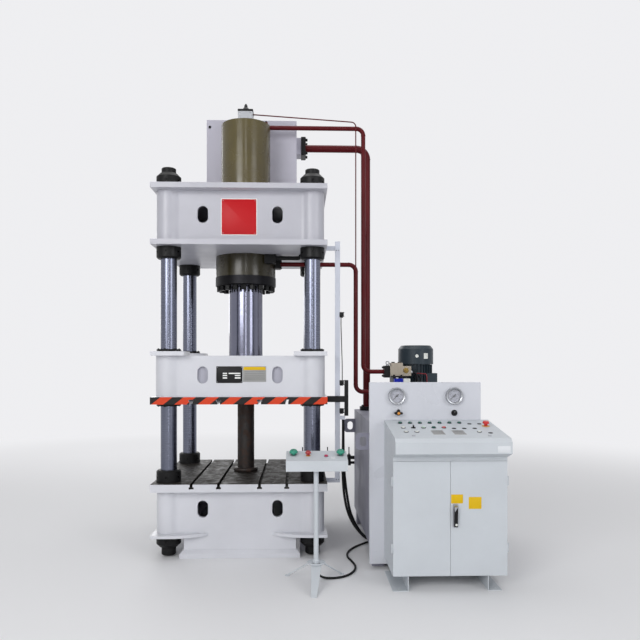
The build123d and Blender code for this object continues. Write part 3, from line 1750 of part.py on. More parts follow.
# Button box with a sloped top
box_slope = atan2(box_back_top - box_front_top, box_back - box_front)
box_plane = Plane(
    origin=(0, box_front, box_front_top),
    x_dir=(1, 0, 0),
    z_dir=(0, -sin(box_slope), cos(box_slope)),
)
palm_places = (
    (box_x0 + palm_left[0], palm_left[1]),
    (box_x1 - palm_right[0], palm_right[1]),
)
box_estop_place = (box_x0 + box_estop[0], box_estop[1])
box_button_place = (box_x0 + box_button[0], box_button[1])
with BuildPart() as button_box:
    with BuildSketch(Plane.YZ.offset(box_x0)) as box_side:
        with BuildLine():
            Polyline(
                (box_front, box_bottom),
                (box_front, box_front_top),
                (box_back, box_back_top),
                (box_back, box_bottom),
                close=True,
            )
        make_face()
    extrude(amount=box_x1 - box_x0)
    with BuildSketch(Plane.YZ.offset(box_x0 + box_sheet)):
        add(box_side.sketch_local)
        offset(amount=-box_sheet, kind=Kind.INTERSECTION, mode=Mode.REPLACE)
    extrude(amount=box_x1 - box_x0 - 2 * box_sheet, mode=Mode.SUBTRACT)
    with BuildSketch(box_plane):
        with Locations(*palm_places, box_estop_place, box_button_place):
            Circle(bezel_diameter / 2)
    extrude(amount=bezel_height)
    with BuildSketch(box_plane.offset(bezel_height)):
        with Locations(*palm_places, box_estop_place):
            Circle(stem_diameter / 2 + slide_fit)
        with Locations(box_button_place):
            Circle(button_diameter / 2 + slide_fit)
    extrude(amount=-bezel_height - 2 * box_sheet, mode=Mode.SUBTRACT)
button_box.part.label = "button_box"
export_step(button_box.part, "parts/button_box.step")

palm_button_left = mushroom(
    box_plane, palm_places[0], palm_diameter, palm_rise, palm_thickness
)
palm_button_left.label = "palm_button_left"
export_step(palm_button_left, "parts/palm_button_left.step")
palm_button_right = mushroom(
    box_plane, palm_places[1], palm_diameter, palm_rise, palm_thickness
)
palm_button_right.label = "palm_button_right"
export_step(palm_button_right, "parts/palm_button_right.step")
stand_estop = mushroom(
    box_plane, box_estop_place, box_estop_diameter, palm_rise, box_estop_thickness
)
stand_estop.label = "stand_estop"
export_step(stand_estop, "parts/stand_estop.step")
stand_button = push_button(box_plane, box_button_place, bezel_height + button_rise)
stand_button.label = "stand_button"
export_step(stand_button, "parts/stand_button.step")


def cord(points, diameter):
    """Cord along tangent arcs, each as large as its two runs allow."""
    radii = []
    for before, here, after in zip(points, points[1:], points[2:]):
        arriving = Vector(*here) - Vector(*before)
        leaving = Vector(*after) - Vector(*here)
        half_turn = radians(arriving.get_angle(leaving)) / 2
        radii.append(0.45 * min(arriving.length, leaving.length) / tan(half_turn))
    with BuildPart() as lead:
        with BuildLine() as route:
            FilletPolyline(*points, radius=radii)
        with BuildSketch(Plane(origin=route.line @ 0, z_dir=route.line % 0)):
            Circle(diameter / 2)
        sweep(path=route.line)
    return lead.part


# Floor cable of the two-hand stand, lying in a loose curve to under the reservoir
floor_cable = cord(
    (
        (stand_x, stand_y, stand_disc_z - post_below_disc),
        (stand_x, stand_y, 84),
        (582, -1115, 48),
        (620, -1095, 14),
        (680, -1092, cable_lie),
        (740, -1078, cable_lie),
        (792, -1040, cable_lie),
        (832, -982, cable_lie),
        (860, -910, cable_lie),
        (872, -816, cable_lie),
        (852, -706, cable_lie),
        (826, -600, cable_lie),
        (834, -488, cable_lie),
        (870, -392, cable_lie),
        (925, -305, cable_lie),
        (985, -232, cable_lie),
        (1045, -165, cable_lie),
        (1092, -100, cable_lie),
        (1115, -40, cable_lie),
        (1115, cable_box_y - terminal_depth / 2, cable_lie),
    ),
    floor_cable_diameter,
)
floor_cable.label = "floor_cable"
export_step(floor_cable, "parts/floor_cable.step")

# Two flexible conduits from the block on the rail down and under the reservoir
conduit_left = cord(
    (
        (805, -433, conduit_top),
        (805, -433, 930),
        (804, -431, 800),
        (801, -432, 670),
        (805, -430, 545),
        (817, -432, 425),
        (841, -434, 315),
        (883, -432, 225),
        (932, -429, 158),
        (985, -426, 106),
        (1040, -424, 84),
        (terminal_x, -424, 84),
    ),
    conduit_diameter,
)
conduit_left.label = "conduit_left"
export_step(conduit_left, "parts/conduit_left.step")

conduit_right = cord(
    (
        (809, -410, conduit_top),
        (809, -410, 930),
        (810, -408, 800),
        (814, -410, 670),
        (825, -408, 545),
        (840, -409, 430),
        (860, -411, 322),
        (895, -409, 232),
        (938, -406, 158),
        (988, -403, 104),
        (1042, -400, 83),
        (terminal_x, -400, 83),
    ),
    conduit_diameter,
)
conduit_right.label = "conduit_right"
export_step(conduit_right, "parts/conduit_right.step")

# Lead from the top switch down to the middle one, nearly tight, with a slight bow
lead_y = rail_middle_y
switch_lead = cord(
    (
        (791, lead_y, switch_z[0] - switch_height / 2),
        (791, lead_y, 1800),
        (793, lead_y, 1735),
        (795.5, lead_y, 1668),
        (797, lead_y, 1600),
        (799.5, lead_y, 1530),
        (801, lead_y, 1465),
        (801, lead_y, switch_z[1] + switch_height / 2),
    ),
    lead_diameter,
)
switch_lead.label = "switch_lead"
export_step(switch_lead, "parts/switch_lead.step")
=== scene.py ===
import bmesh
import bpy
from math import atan2, cos, pi, radians, sin
from mathutils import Matrix, Vector


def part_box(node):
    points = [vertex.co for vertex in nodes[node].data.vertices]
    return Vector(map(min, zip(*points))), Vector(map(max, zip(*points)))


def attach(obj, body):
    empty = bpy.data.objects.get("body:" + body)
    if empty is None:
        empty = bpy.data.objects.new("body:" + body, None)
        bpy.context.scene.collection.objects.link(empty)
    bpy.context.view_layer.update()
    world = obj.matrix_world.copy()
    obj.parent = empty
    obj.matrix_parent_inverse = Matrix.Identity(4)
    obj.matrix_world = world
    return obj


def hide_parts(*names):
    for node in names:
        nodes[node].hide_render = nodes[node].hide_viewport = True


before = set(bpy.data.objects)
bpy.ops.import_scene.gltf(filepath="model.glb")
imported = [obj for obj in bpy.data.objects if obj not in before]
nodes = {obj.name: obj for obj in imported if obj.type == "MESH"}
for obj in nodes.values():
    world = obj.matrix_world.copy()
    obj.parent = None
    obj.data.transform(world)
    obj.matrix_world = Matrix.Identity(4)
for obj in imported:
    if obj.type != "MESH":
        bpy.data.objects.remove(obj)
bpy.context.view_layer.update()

MM = 0.001

# Directions of the shared frame
LEFT, RIGHT = (-1, 0, 0), (1, 0, 0)
FRONT, BACK = (0, -1, 0), (0, 1, 0)
DOWN, UP = (0, 0, -1), (0, 0, 1)


def at(x, y, z):
    """Point in metres from millimetres."""
    return Vector((x, y, z)) * MM


def grid(x_reach, y_reach):
    """Four corners round a centre."""
    return [(sx * x_reach, sy * y_reach) for sx in (-1, 1) for sy in (-1, 1)]


# Shader building

def srgb(red, green, blue):
    """Linear colour from an ordinary 0 to 255 colour."""
    def channel(value):
        share = value / 255
        return share / 12.92 if share <= 0.04045 else ((share + 0.055) / 1.055) ** 2.4
    return (channel(red), channel(green), channel(blue), 1)


def add_node(tree, kind, inputs=(), **settings):
    """Adds a shader node, with its settings, and sets or links its inputs."""
    made = tree.nodes.new("ShaderNode" + kind)
    for key, value in settings.items():
        setattr(made, key, value)
    for key, value in dict(inputs).items():
        if isinstance(value, bpy.types.NodeSocket):
            tree.links.new(value, made.inputs[key])
        else:
            made.inputs[key].default_value = value
    return made


# Places of the sockets of the mix node for colours
FACTOR, COLOUR_A, COLOUR_B, COLOUR_OUT = 0, 6, 7, 2


class Shader:
    """A principled material with its helper nodes."""

    def __init__(self, name, roughness, metallic=0.0, coat=0.0, coat_roughness=0.1,
                 specular=0.5):
        self.material = bpy.data.materials.new(name)
        self.material.use_nodes = True
        self.tree = self.material.node_tree
        self.surface = self.tree.nodes["Principled BSDF"]
        self.set("Roughness", roughness)
        self.set("Metallic", metallic)
        self.set("Coat Weight", coat)
        self.set("Coat Roughness", coat_roughness)
        self.set("Specular IOR Level", specular)
        self.place = self.node("TexCoord").outputs["Object"]

    def set(self, socket, value):
        self.surface.inputs[socket].default_value = value

    def link(self, output, socket):
        self.tree.links.new(output, self.surface.inputs[socket])

    def node(self, kind, inputs=(), **settings):
        return add_node(self.tree, kind, inputs, **settings)

    def stretched(self, scale):
        """Object coordinates scaled by a different amount along each axis."""
        return self.node("Mapping", {"Vector": self.place, "Scale": scale}).outputs["Vector"]

    def noise(self, scale, detail, rough=0.5, vector=None, distortion=0.0):
        inputs = {"Vector": vector or self.place, "Scale": scale, "Detail": detail,
                  "Roughness": rough, "Distortion": distortion}
        return self.node("TexNoise", inputs).outputs["Fac"]

    def ramp(self, factor, low, high, start, end):
        """Number that goes from low to high while the factor goes from start to end."""
        inputs = {"Value": factor, "From Min": start, "From Max": end,
                  "To Min": low, "To Max": high}
        return self.node("MapRange", inputs, interpolation_type="SMOOTHSTEP").outputs["Result"]

    def mix(self, factor, first, second):
        inputs = {FACTOR: factor, COLOUR_A: first, COLOUR_B: second}
        return self.node("Mix", inputs, data_type="RGBA").outputs[COLOUR_OUT]

    def maths(self, operation, first, second=0.0):
        return self.node("Math", {0: first, 1: second}, operation=operation).outputs[0]

    def axis(self, index):
        """One of the object's own coordinates, in metres."""
        return self.node("SeparateXYZ", {"Vector": self.place}).outputs[index]

    def vary_roughness(self, factor, less, more, start=0.3, end=0.7):
        """Lets the roughness go round its set value with a factor."""
        value = self.surface.inputs["Roughness"].default_value
        self.link(self.ramp(factor, value - less, value + more, start, end), "Roughness")

    def facing_up(self):
        """One where the surface faces up, zero where it is upright or faces down."""
        normal = self.node("NewGeometry").outputs["Normal"]
        upward = self.node("SeparateXYZ", {"Vector": normal}).outputs["Z"]
        return self.ramp(upward, 0, 1, 0.3, 0.95)

    def bump(self, height, distance):
        inputs = {"Height": height, "Distance": distance, "Strength": 1.0}
        made = self.node("Bump", inputs)
        self.link(made.outputs["Normal"], "Normal")


def shade(colour, amount):
    return tuple(min(1, channel * amount) for channel in colour[:3]) + (1,)


DUST = srgb(120, 112, 100)
WORN_PAINT = srgb(120, 100, 92)


def paint(name, colour, roughness, coat, variation=0.05, dust=0.12, peel=260,
          peel_depth=0.00012, second=None, specular=0.5):
    """Sprayed paint: uneven tone, orange peel and a little dust where it faces up."""
    made = Shader(name, roughness, coat=coat, coat_roughness=roughness * 0.6, specular=specular)
    cloud = made.noise(1.7, 6, 0.62)
    low, high = shade(colour, 1 - variation), second or shade(colour, 1 + variation)
    tone = made.mix(made.ramp(cloud, 0, 1, 0.25, 0.75), low, high)
    dusty = made.ramp(made.noise(9, 8, 0.7), 0, dust, 0.35, 0.8)
    grime = made.maths("MULTIPLY", made.facing_up(), dusty)
    made.link(made.mix(grime, tone, DUST), "Base Color")
    made.vary_roughness(made.noise(5, 5), 0.06, 0.1)
    made.bump(made.noise(peel, 3), peel_depth)
    return made.material


def machined(name, colour, roughness, along, line_scale, depth=0.00004, tint=None,
             tint_amount=0.4):
    """Bare metal with fine tool lines that run round or along one axis."""
    made = Shader(name, roughness, metallic=1.0)
    stretch = [2.0, 2.0, 2.0]
    stretch[along] = line_scale
    lines = made.noise(1, 3, 0.6, made.stretched(stretch))
    patches = made.ramp(made.noise(3.1, 5, 0.6), 0, tint_amount, 0.3, 0.8)
    tone = made.mix(patches, colour, tint or shade(colour, 0.8))
    tone = made.mix(made.ramp(lines, 0, 0.25, 0.3, 0.7), tone, shade(colour, 0.72))
    made.link(tone, "Base Color")
    made.vary_roughness(lines, 0.05, 0.12, 0.2, 0.8)
    made.bump(lines, depth)
    return made.material


def moulded(name, colour, roughness, grain=900, depth=0.00004, coat=0.0, specular=0.5):
    """Moulded plastic with a fine grain."""
    made = Shader(name, roughness, coat=coat, specular=specular)
    cloud = made.ramp(made.noise(40, 4), 0, 1, 0.3, 0.7)
    made.link(made.mix(cloud, shade(colour, 0.93), shade(colour, 1.06)), "Base Color")
    made.vary_roughness(made.noise(90, 3), 0.04, 0.08)
    made.bump(made.noise(grain, 2), depth)
    return made.material


def powder_coat(name, colour):
    """Finely textured powder coat of a switch cabinet."""
    made = Shader(name, 0.5)
    cloud = made.ramp(made.noise(2.2, 5, 0.6), 0, 1, 0.3, 0.7)
    tone = made.mix(cloud, shade(colour, 0.965), shade(colour, 1.03))
    speck = made.ramp(made.noise(620, 2), 0, 0.16, 0.56, 0.7)
    made.link(made.mix(speck, tone, shade(colour, 0.72)), "Base Color")
    made.vary_roughness(made.noise(30, 4), 0.06, 0.08)
    made.bump(made.noise(480, 2, 0.6), 0.00022)
    return made.material


def rusty(name, dark, rust, roughness=0.55, metallic=0.55, specular=0.5, relief=0.0005):
    """Mill scale with rust breaking through."""
    made = Shader(name, roughness, metallic=metallic, specular=specular)
    patches = made.noise(14, 9, 0.68, distortion=0.6)
    fine = made.noise(120, 6, 0.7)
    tone = made.mix(made.ramp(patches, 0, 1, 0.42, 0.66), dark, rust)
    tone = made.mix(made.ramp(fine, 0, 0.5, 0.4, 0.75), tone, shade(rust, 0.45))
    made.link(tone, "Base Color")
    made.vary_roughness(patches, 0.15, 0.25, 0.35, 0.7)
    made.bump(made.maths("ADD", patches, fine), relief)
    return made.material


def stripes(name, first, second, period, lean, start):
    """Diagonal warning bands, worn at the edges of the paint."""
    made = Shader(name, 0.42, specular=0.2)
    slanted = made.maths("SUBTRACT", made.axis(0), made.maths("MULTIPLY", made.axis(2), lean))
    wobble = made.maths("MULTIPLY", made.noise(45, 3), 0.004)
    turns = made.maths("DIVIDE", made.maths("ADD", slanted, wobble), period)
    phase = made.maths("FRACT", made.maths("ADD", turns, start))
    band = made.ramp(phase, 0, 1, 0.52, 0.53)
    worn = made.ramp(made.noise(70, 7, 0.7), 0, 0.5, 0.62, 0.72)
    tone = made.mix(band, first, second)
    made.link(made.mix(worn, tone, WORN_PAINT), "Base Color")
    made.link(made.ramp(made.noise(20, 5), 0.34, 0.55, 0.3, 0.7), "Roughness")
    made.bump(made.noise(300, 3), 0.0001)
    return made.material


def glass(name):
    """Thin clear pane, of which mostly the gloss shows."""
    made = Shader(name, 0.03)
    made.set("Base Color", (0.95, 0.97, 1, 1))
    made.set("Alpha", 0.06)
    made.link(made.ramp(made.noise(60, 2), 0.01, 0.06, 0.4, 0.7), "Roughness")
    return made.material


press_paint = paint("press_paint", srgb(205, 206, 212), 0.36, 0.3)
# Darker copy of the press paint for the upper beam: painted shade, since the beam carries the same
# white paint as the slide
beam_painted_shade = paint("beam_painted_shade", srgb(182, 182, 190), 0.4, 0.2)
# Lilac grey of the reservoir, darkened further as painted shade of its shaded left side
tank_paint = paint("tank_paint", srgb(142, 142, 156), 0.5, 0, 0.03, 0.08, specular=0.3)
panel_paint = paint("panel_paint", srgb(203, 205, 212), 0.32, 0.2, 0.03)
# Darker grey for the floors of the recesses in the slide's front: painted shade in the recesses
recess_painted_shade = paint("recess_painted_shade", srgb(166, 166, 177), 0.45, 0, 0.03)
prefill_paint = paint("prefill_paint", srgb(184, 182, 195), 0.42, 0.12)
cylinder_paint = paint("cylinder_paint", srgb(76, 67, 46), 0.2, 0, 0.08, 0.06, 160, 0.0001,
                       second=srgb(92, 82, 42), specular=0.45)
# Darker copy of the barrel paint for the barrel below the beam: painted shade under the beam
collar_painted_shade = paint("collar_painted_shade", srgb(42, 38, 26), 0.24, 0, 0.1, 0.04, 160, 0.0002,
                     second=srgb(54, 49, 30), specular=0.4)
pipe_paint = paint("pipe_paint", srgb(88, 17, 23), 0.36, 0, 0.18, 0.06, 180, 0.0002,
                   specular=0.15)
# Black paint; on the black pipes it is painted shade, standing in for the deep shade under the
# beam
black_paint = paint("black_paint", srgb(18, 18, 20), 0.4, 0, 0.15, 0.08, specular=0.2)
motor_paint = paint("motor_paint", srgb(40, 52, 60), 0.4, 0, 0.1, 0.1, specular=0.3)
nut_steel = paint("nut_steel", srgb(14, 14, 15), 0.44, 0, 0.25, 0.08, 120, 0.0002, specular=0.2)
cabinet_coat = powder_coat("cabinet_coat", srgb(194, 199, 204))
column_steel = machined("column_steel", srgb(112, 115, 129), 0.2, 2, 600, 0.00002,
                        srgb(82, 88, 106))
ram_chrome = machined("ram_chrome", srgb(118, 119, 134), 0.13, 2, 400, 0.00001,
                      srgb(92, 95, 112), 0.3)
table_steel = rusty("table_steel", srgb(48, 46, 43), srgb(42, 36, 30), 0.56, 0.1, 0.15, 0.00003)
dark_steel = machined("dark_steel", srgb(38, 38, 41), 0.4, 2, 500, 0.00004,
                      srgb(26, 25, 24), 0.6)
bronze = machined("bronze", srgb(176, 138, 84), 0.28, 2, 500)
zinc = machined("zinc", srgb(176, 178, 184), 0.34, 2, 90, 0.00004)
rail_paint = paint("rail_paint", srgb(196, 200, 212), 0.36, 0.2)
block_steel = machined("block_steel", srgb(158, 150, 138), 0.42, 0, 160, 0.00006,
                       srgb(132, 124, 112), 0.6)
bare_steel = machined("bare_steel", srgb(160, 162, 166), 0.3, 1, 300, 0.00004)
brass = machined("brass", srgb(150, 126, 72), 0.3, 1, 500)
prop_rust = rusty("prop_rust", srgb(44, 41, 40), srgb(72, 54, 46))
black_plastic = moulded("black_plastic", srgb(20, 20, 22), 0.42, specular=0.2)
fan_plastic = moulded("fan_plastic", srgb(26, 30, 32), 0.5, specular=0.2)
rubber = moulded("rubber", srgb(20, 20, 22), 0.6, 400, 0.0001, specular=0.2)
green_plastic = moulded("green_plastic", srgb(16, 84, 72), 0.25, coat=0.4)
palm_green = moulded("palm_green", srgb(38, 136, 112), 0.3, coat=0.15)
red_plastic = moulded("red_plastic", srgb(196, 30, 26), 0.25, coat=0.4)
white_plastic = moulded("white_plastic", srgb(226, 228, 222), 0.3, coat=0.2)
amber_plastic = moulded("amber_plastic", srgb(232, 150, 40), 0.3, coat=0.3)
ochre_plastic = moulded("ochre_plastic", srgb(196, 146, 58), 0.35, coat=0.2)
deep_red_plastic = moulded("deep_red_plastic", srgb(158, 30, 32), 0.3, coat=0.2)
crimson_plastic = moulded("crimson_plastic", srgb(176, 22, 74), 0.3, coat=0.2)
blue_plastic = moulded("blue_plastic", srgb(10, 32, 160), 0.4, specular=0.2)
pink_plastic = moulded("pink_plastic", srgb(204, 96, 96), 0.25, coat=0.4)
pale_green_plastic = moulded("pale_green_plastic", srgb(186, 208, 190), 0.25, coat=0.4)
red_plate = paint("red_plate", srgb(188, 8, 20), 0.5, 0, 0.04, 0.03, specular=0.3)
yellow_plate = paint("yellow_plate", srgb(216, 176, 12), 0.45, 0, 0.05, 0.03, specular=0.25)
pale_sticker = paint("pale_sticker", srgb(214, 217, 221), 0.4, 0, 0.02, 0.02)
tube_red = paint("tube_red", srgb(132, 38, 46), 0.3, 0, 0.1, 0.05, specular=0.3)
dial_grey = paint("dial_grey", srgb(166, 167, 178), 0.5, 0, 0.02, 0)
grey_plate = paint("grey_plate", srgb(150, 150, 148), 0.4, 0.2, 0.06, 0.05)
black_plate = paint("black_plate", srgb(26, 26, 27), 0.4, 0, 0.1, 0.02, specular=0.2)
dial_white = paint("dial_white", srgb(232, 233, 230), 0.5, 0, 0.02, 0)
ink = paint("ink", srgb(28, 28, 30), 0.5, 0, 0.05, 0)
clear_glass = glass("clear_glass")
warning_bands = stripes("warning_bands", srgb(208, 66, 34), srgb(30, 28, 28),
                        period=0.175, lean=1.27, start=0.389)

NODE_MATERIALS = {
    press_paint: "bed slide_body",
    # The upper beam takes the darker copy of the press paint, as painted shade
    beam_painted_shade: "upper_beam",
    column_steel: "columns",
    nut_steel: "column_nuts gland_bolts bush_rings",
    cylinder_paint: "cylinder_barrel",
    dark_steel: "cylinder_nut gland_ring valve_manifold",
    ram_chrome: "ram",
    bronze: "guide_bushes",
    zinc: "handle_hub handle_lever",
    rail_paint: "switch_rail",
    # On the black pipes this black is painted shade: the deep shade under the beam
    black_paint: "black_pipes cam_arm pipe_flanges",
    prefill_paint: "prefill_tank",
    prop_rust: "prop_post",
    pipe_paint: "forming_pipe suction_pipe return_pipe",
    # The reservoir's lilac grey is darkened as painted shade
    tank_paint: "reservoir",
    panel_paint: "gauge_panel",
    bare_steel: "pressure_gauges top_valve",
    motor_paint: "motor fan_cover",
    fan_plastic: "motor_fan",
    black_plastic: "proximity_switches gauge_valve_knob panel_knob selector",
    ink: "pointer_left pointer_right",
    cabinet_coat: "cabinet door_left door_right stand_base stand_post button_box",
    green_plastic: " ".join(f"desk_button_{i}" for i in range(1, 9)),
    palm_green: "palm_button_left palm_button_right",
    red_plastic: "desk_estop",
    deep_red_plastic: "stand_estop",
    crimson_plastic: "stand_button",
    rubber: "floor_cable conduit_left conduit_right switch_lead",
}
for material, names in NODE_MATERIALS.items():
    for name in names.split():
        nodes[name].data.materials.clear()
        nodes[name].data.materials.append(material)


def dress_faces(name, material, chosen):
    """Gives the faces of a node that pass a test their own material."""
    mesh = nodes[name].data
    mesh.materials.append(material)
    index = len(mesh.materials) - 1
    for face in mesh.polygons:
        if chosen(face.center, face.normal):
            face.material_index = index


def frame_at(origin, direction):
    """Placement whose local Z runs along a direction."""
    z = Vector(direction).normalized()
    side = Vector(UP).cross(z)
    x = side.normalized() if side.length > 1e-6 else Vector(RIGHT)
    y = z.cross(x)
    placed = Matrix((x, y, z)).transposed().to_4x4()
    placed.translation = Vector(origin)
    return placed


class Slope:
    """Sloped panel, with places given as (x, up the slope) in millimetres."""

    def __init__(self, edge_y, edge_z, rise, run):
        slope = atan2(rise, run)
        self.edge = Vector((0, edge_y, edge_z)) * MM
        self.up = Vector((0, cos(slope), sin(slope)))
        self.normal = Vector((0, -sin(slope), cos(slope)))

    def point(self, x, up, out=0.0):
        return self.edge + Vector((x * MM, 0, 0)) + self.up * up * MM + self.normal * out * MM

    def local(self, point):
        """(x, up, out) of a point, in millimetres."""
        step = point - self.edge
        return step.x / MM, step.dot(self.up) / MM, step.dot(self.normal) / MM

    def placed(self, x, up, out=0.0):
        return frame_at(self.point(x, up, out), self.normal)

    def near(self, place, reach, low=0.4):
        """Test for faces round a place that stand over a height above the panel."""
        def chosen(centre, normal):
            x, up, out = self.local(centre)
            return (x - place[0]) ** 2 + (up - place[1]) ** 2 < reach ** 2 and out > low
        return chosen


desk_panel = Slope(edge_y=-1420, edge_z=1013, rise=74, run=534.7)
box_panel = Slope(edge_y=-1215, edge_z=840, rise=43, run=190)
DESK_ROW = [(1173 + i * 70.5, 430) for i in range(7)]
DESK_SELECTOR = (1243.5, 288)
DESK_START = (1384.5, 288)
DESK_ESTOP = (1760, 335)
DESK_LAMPS = ((1173, 288), (1314, 288), (1455, 288))
PALM_PLACES = ((418, 115), (742, 110))
BOX_ESTOP = (518, 102)
BOX_BUTTON = (642, 84)

# Bounds of the faces that have a material of their own, in metres, and the least share
# of its normal along an axis of a face that looks straight that way
STRAIGHT = 0.9
table_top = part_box("bed")[1].z
slide_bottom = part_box("slide_body")[0].z
beam_bottom, beam_top = (corner.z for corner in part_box("upper_beam"))
ear_bottom = 168 * MM
table_edge = table_top - 40 * MM
slot_reach = 0.45
band_top = slide_bottom + 57 * MM
band_depth = 0.63
top_block_top = 3645 * MM
dial_y = -895 * MM
manifold_top = 1389 * MM
manifold_front = -45 * MM
coil_end, plug_start = 1.336, 1.3361
recess_x, recess_y, recess_z = (0.22, 0.33), -0.523, (1.33, 1.49)
panel_back, panel_left, panel_right = -0.84, 0.9845, 1.7655
lever_grip = 0.54
block_side = 0.2
hinge_front = -1.3402

# (node, material, test of the centre c and the normal n of a face)
for name, material, chosen in (
    ("columns", nut_steel, lambda c, n: not ear_bottom < c.z < beam_top),
    ("top_valve", black_paint, lambda c, n: c.z > top_block_top + MM),
    ("pressure_gauges", dial_grey, lambda c, n: n.y < -STRAIGHT and c.y > dial_y - MM),
    ("valve_manifold", block_steel, lambda c, n: c.z > manifold_top + MM),
    ("valve_manifold", blue_plastic,
     lambda c, n: c.y < manifold_front - MM and c.x < coil_end and c.z < manifold_top),
    ("valve_manifold", white_plastic,
     lambda c, n: c.y < manifold_front - MM and c.x > plug_start and c.z < manifold_top),
    # The floors of the slide's front recesses take the darker grey as painted shade
    ("slide_body", recess_painted_shade,
     lambda c, n: n.y < -STRAIGHT and recess_x[0] < abs(c.x) < recess_x[1]
     and abs(c.y - recess_y) < MM and recess_z[0] < c.z < recess_z[1]),
    ("reservoir", panel_paint,
     lambda c, n: c.y < panel_back and not panel_left < c.x < panel_right),
    ("handle_lever", black_paint, lambda c, n: c.z < lever_grip),
    ("pipe_flanges", pipe_paint, lambda c, n: c.z > beam_top and c.x < block_side),
    ("door_right", zinc, lambda c, n: c.y < hinge_front),
    # Barrel faces below the beam take the darker copy as painted shade under the beam
    ("cylinder_barrel", collar_painted_shade, lambda c, n: c.z < beam_bottom),
    ("bed", table_steel, lambda c, n: c.z > table_edge and abs(n.y) < 0.5
     and (n.z > STRAIGHT or abs(c.x) < slot_reach)),
    ("slide_body", warning_bands,
     lambda c, n: abs(n.y) > STRAIGHT and c.z < band_top and abs(c.y) > band_depth),
):
    dress_faces(name, material, chosen)

# Bases of the buttons and lamps, by how far they reach in millimetres
BASE_REACH, ESTOP_REACH = 20, 32
LENS_REACH, LENS_LOW = 13, 4.2
for place in (*DESK_ROW, DESK_SELECTOR, DESK_START, *DESK_LAMPS):
    dress_faces("cabinet", black_plastic, desk_panel.near(place, BASE_REACH))
for place, lens in zip(DESK_LAMPS, (white_plastic, pale_green_plastic, pink_plastic)):
    dress_faces("cabinet", lens, desk_panel.near(place, LENS_REACH, LENS_LOW))
dress_faces("cabinet", ochre_plastic, desk_panel.near(DESK_ESTOP, ESTOP_REACH))
for place in (*PALM_PLACES, BOX_BUTTON):
    dress_faces("button_box", zinc, box_panel.near(place, BASE_REACH))
dress_faces("button_box", ochre_plastic, box_panel.near(BOX_ESTOP, BASE_REACH))


# Mesh building

# Angles in radians over which an edge is bevelled
BENT_EDGE, CAP_EDGE = 0.6, 1.0


def add_object(name, data):
    made = bpy.data.objects.new(name, data)
    bpy.context.scene.collection.objects.link(made)
    return made


def add_piece(name, data, material, body="press"):
    """Adds a mesh or curve as a piece that rides on a body."""
    data.materials.append(material)
    piece = add_object(name, data)
    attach(piece, body)
    return piece


def smooth_faces(mesh, angle):
    """Shades a mesh smooth, up to an angle in degrees between its faces."""
    for face in mesh.polygons:
        face.use_smooth = True
    mesh.set_sharp_from_angle(angle=radians(angle))


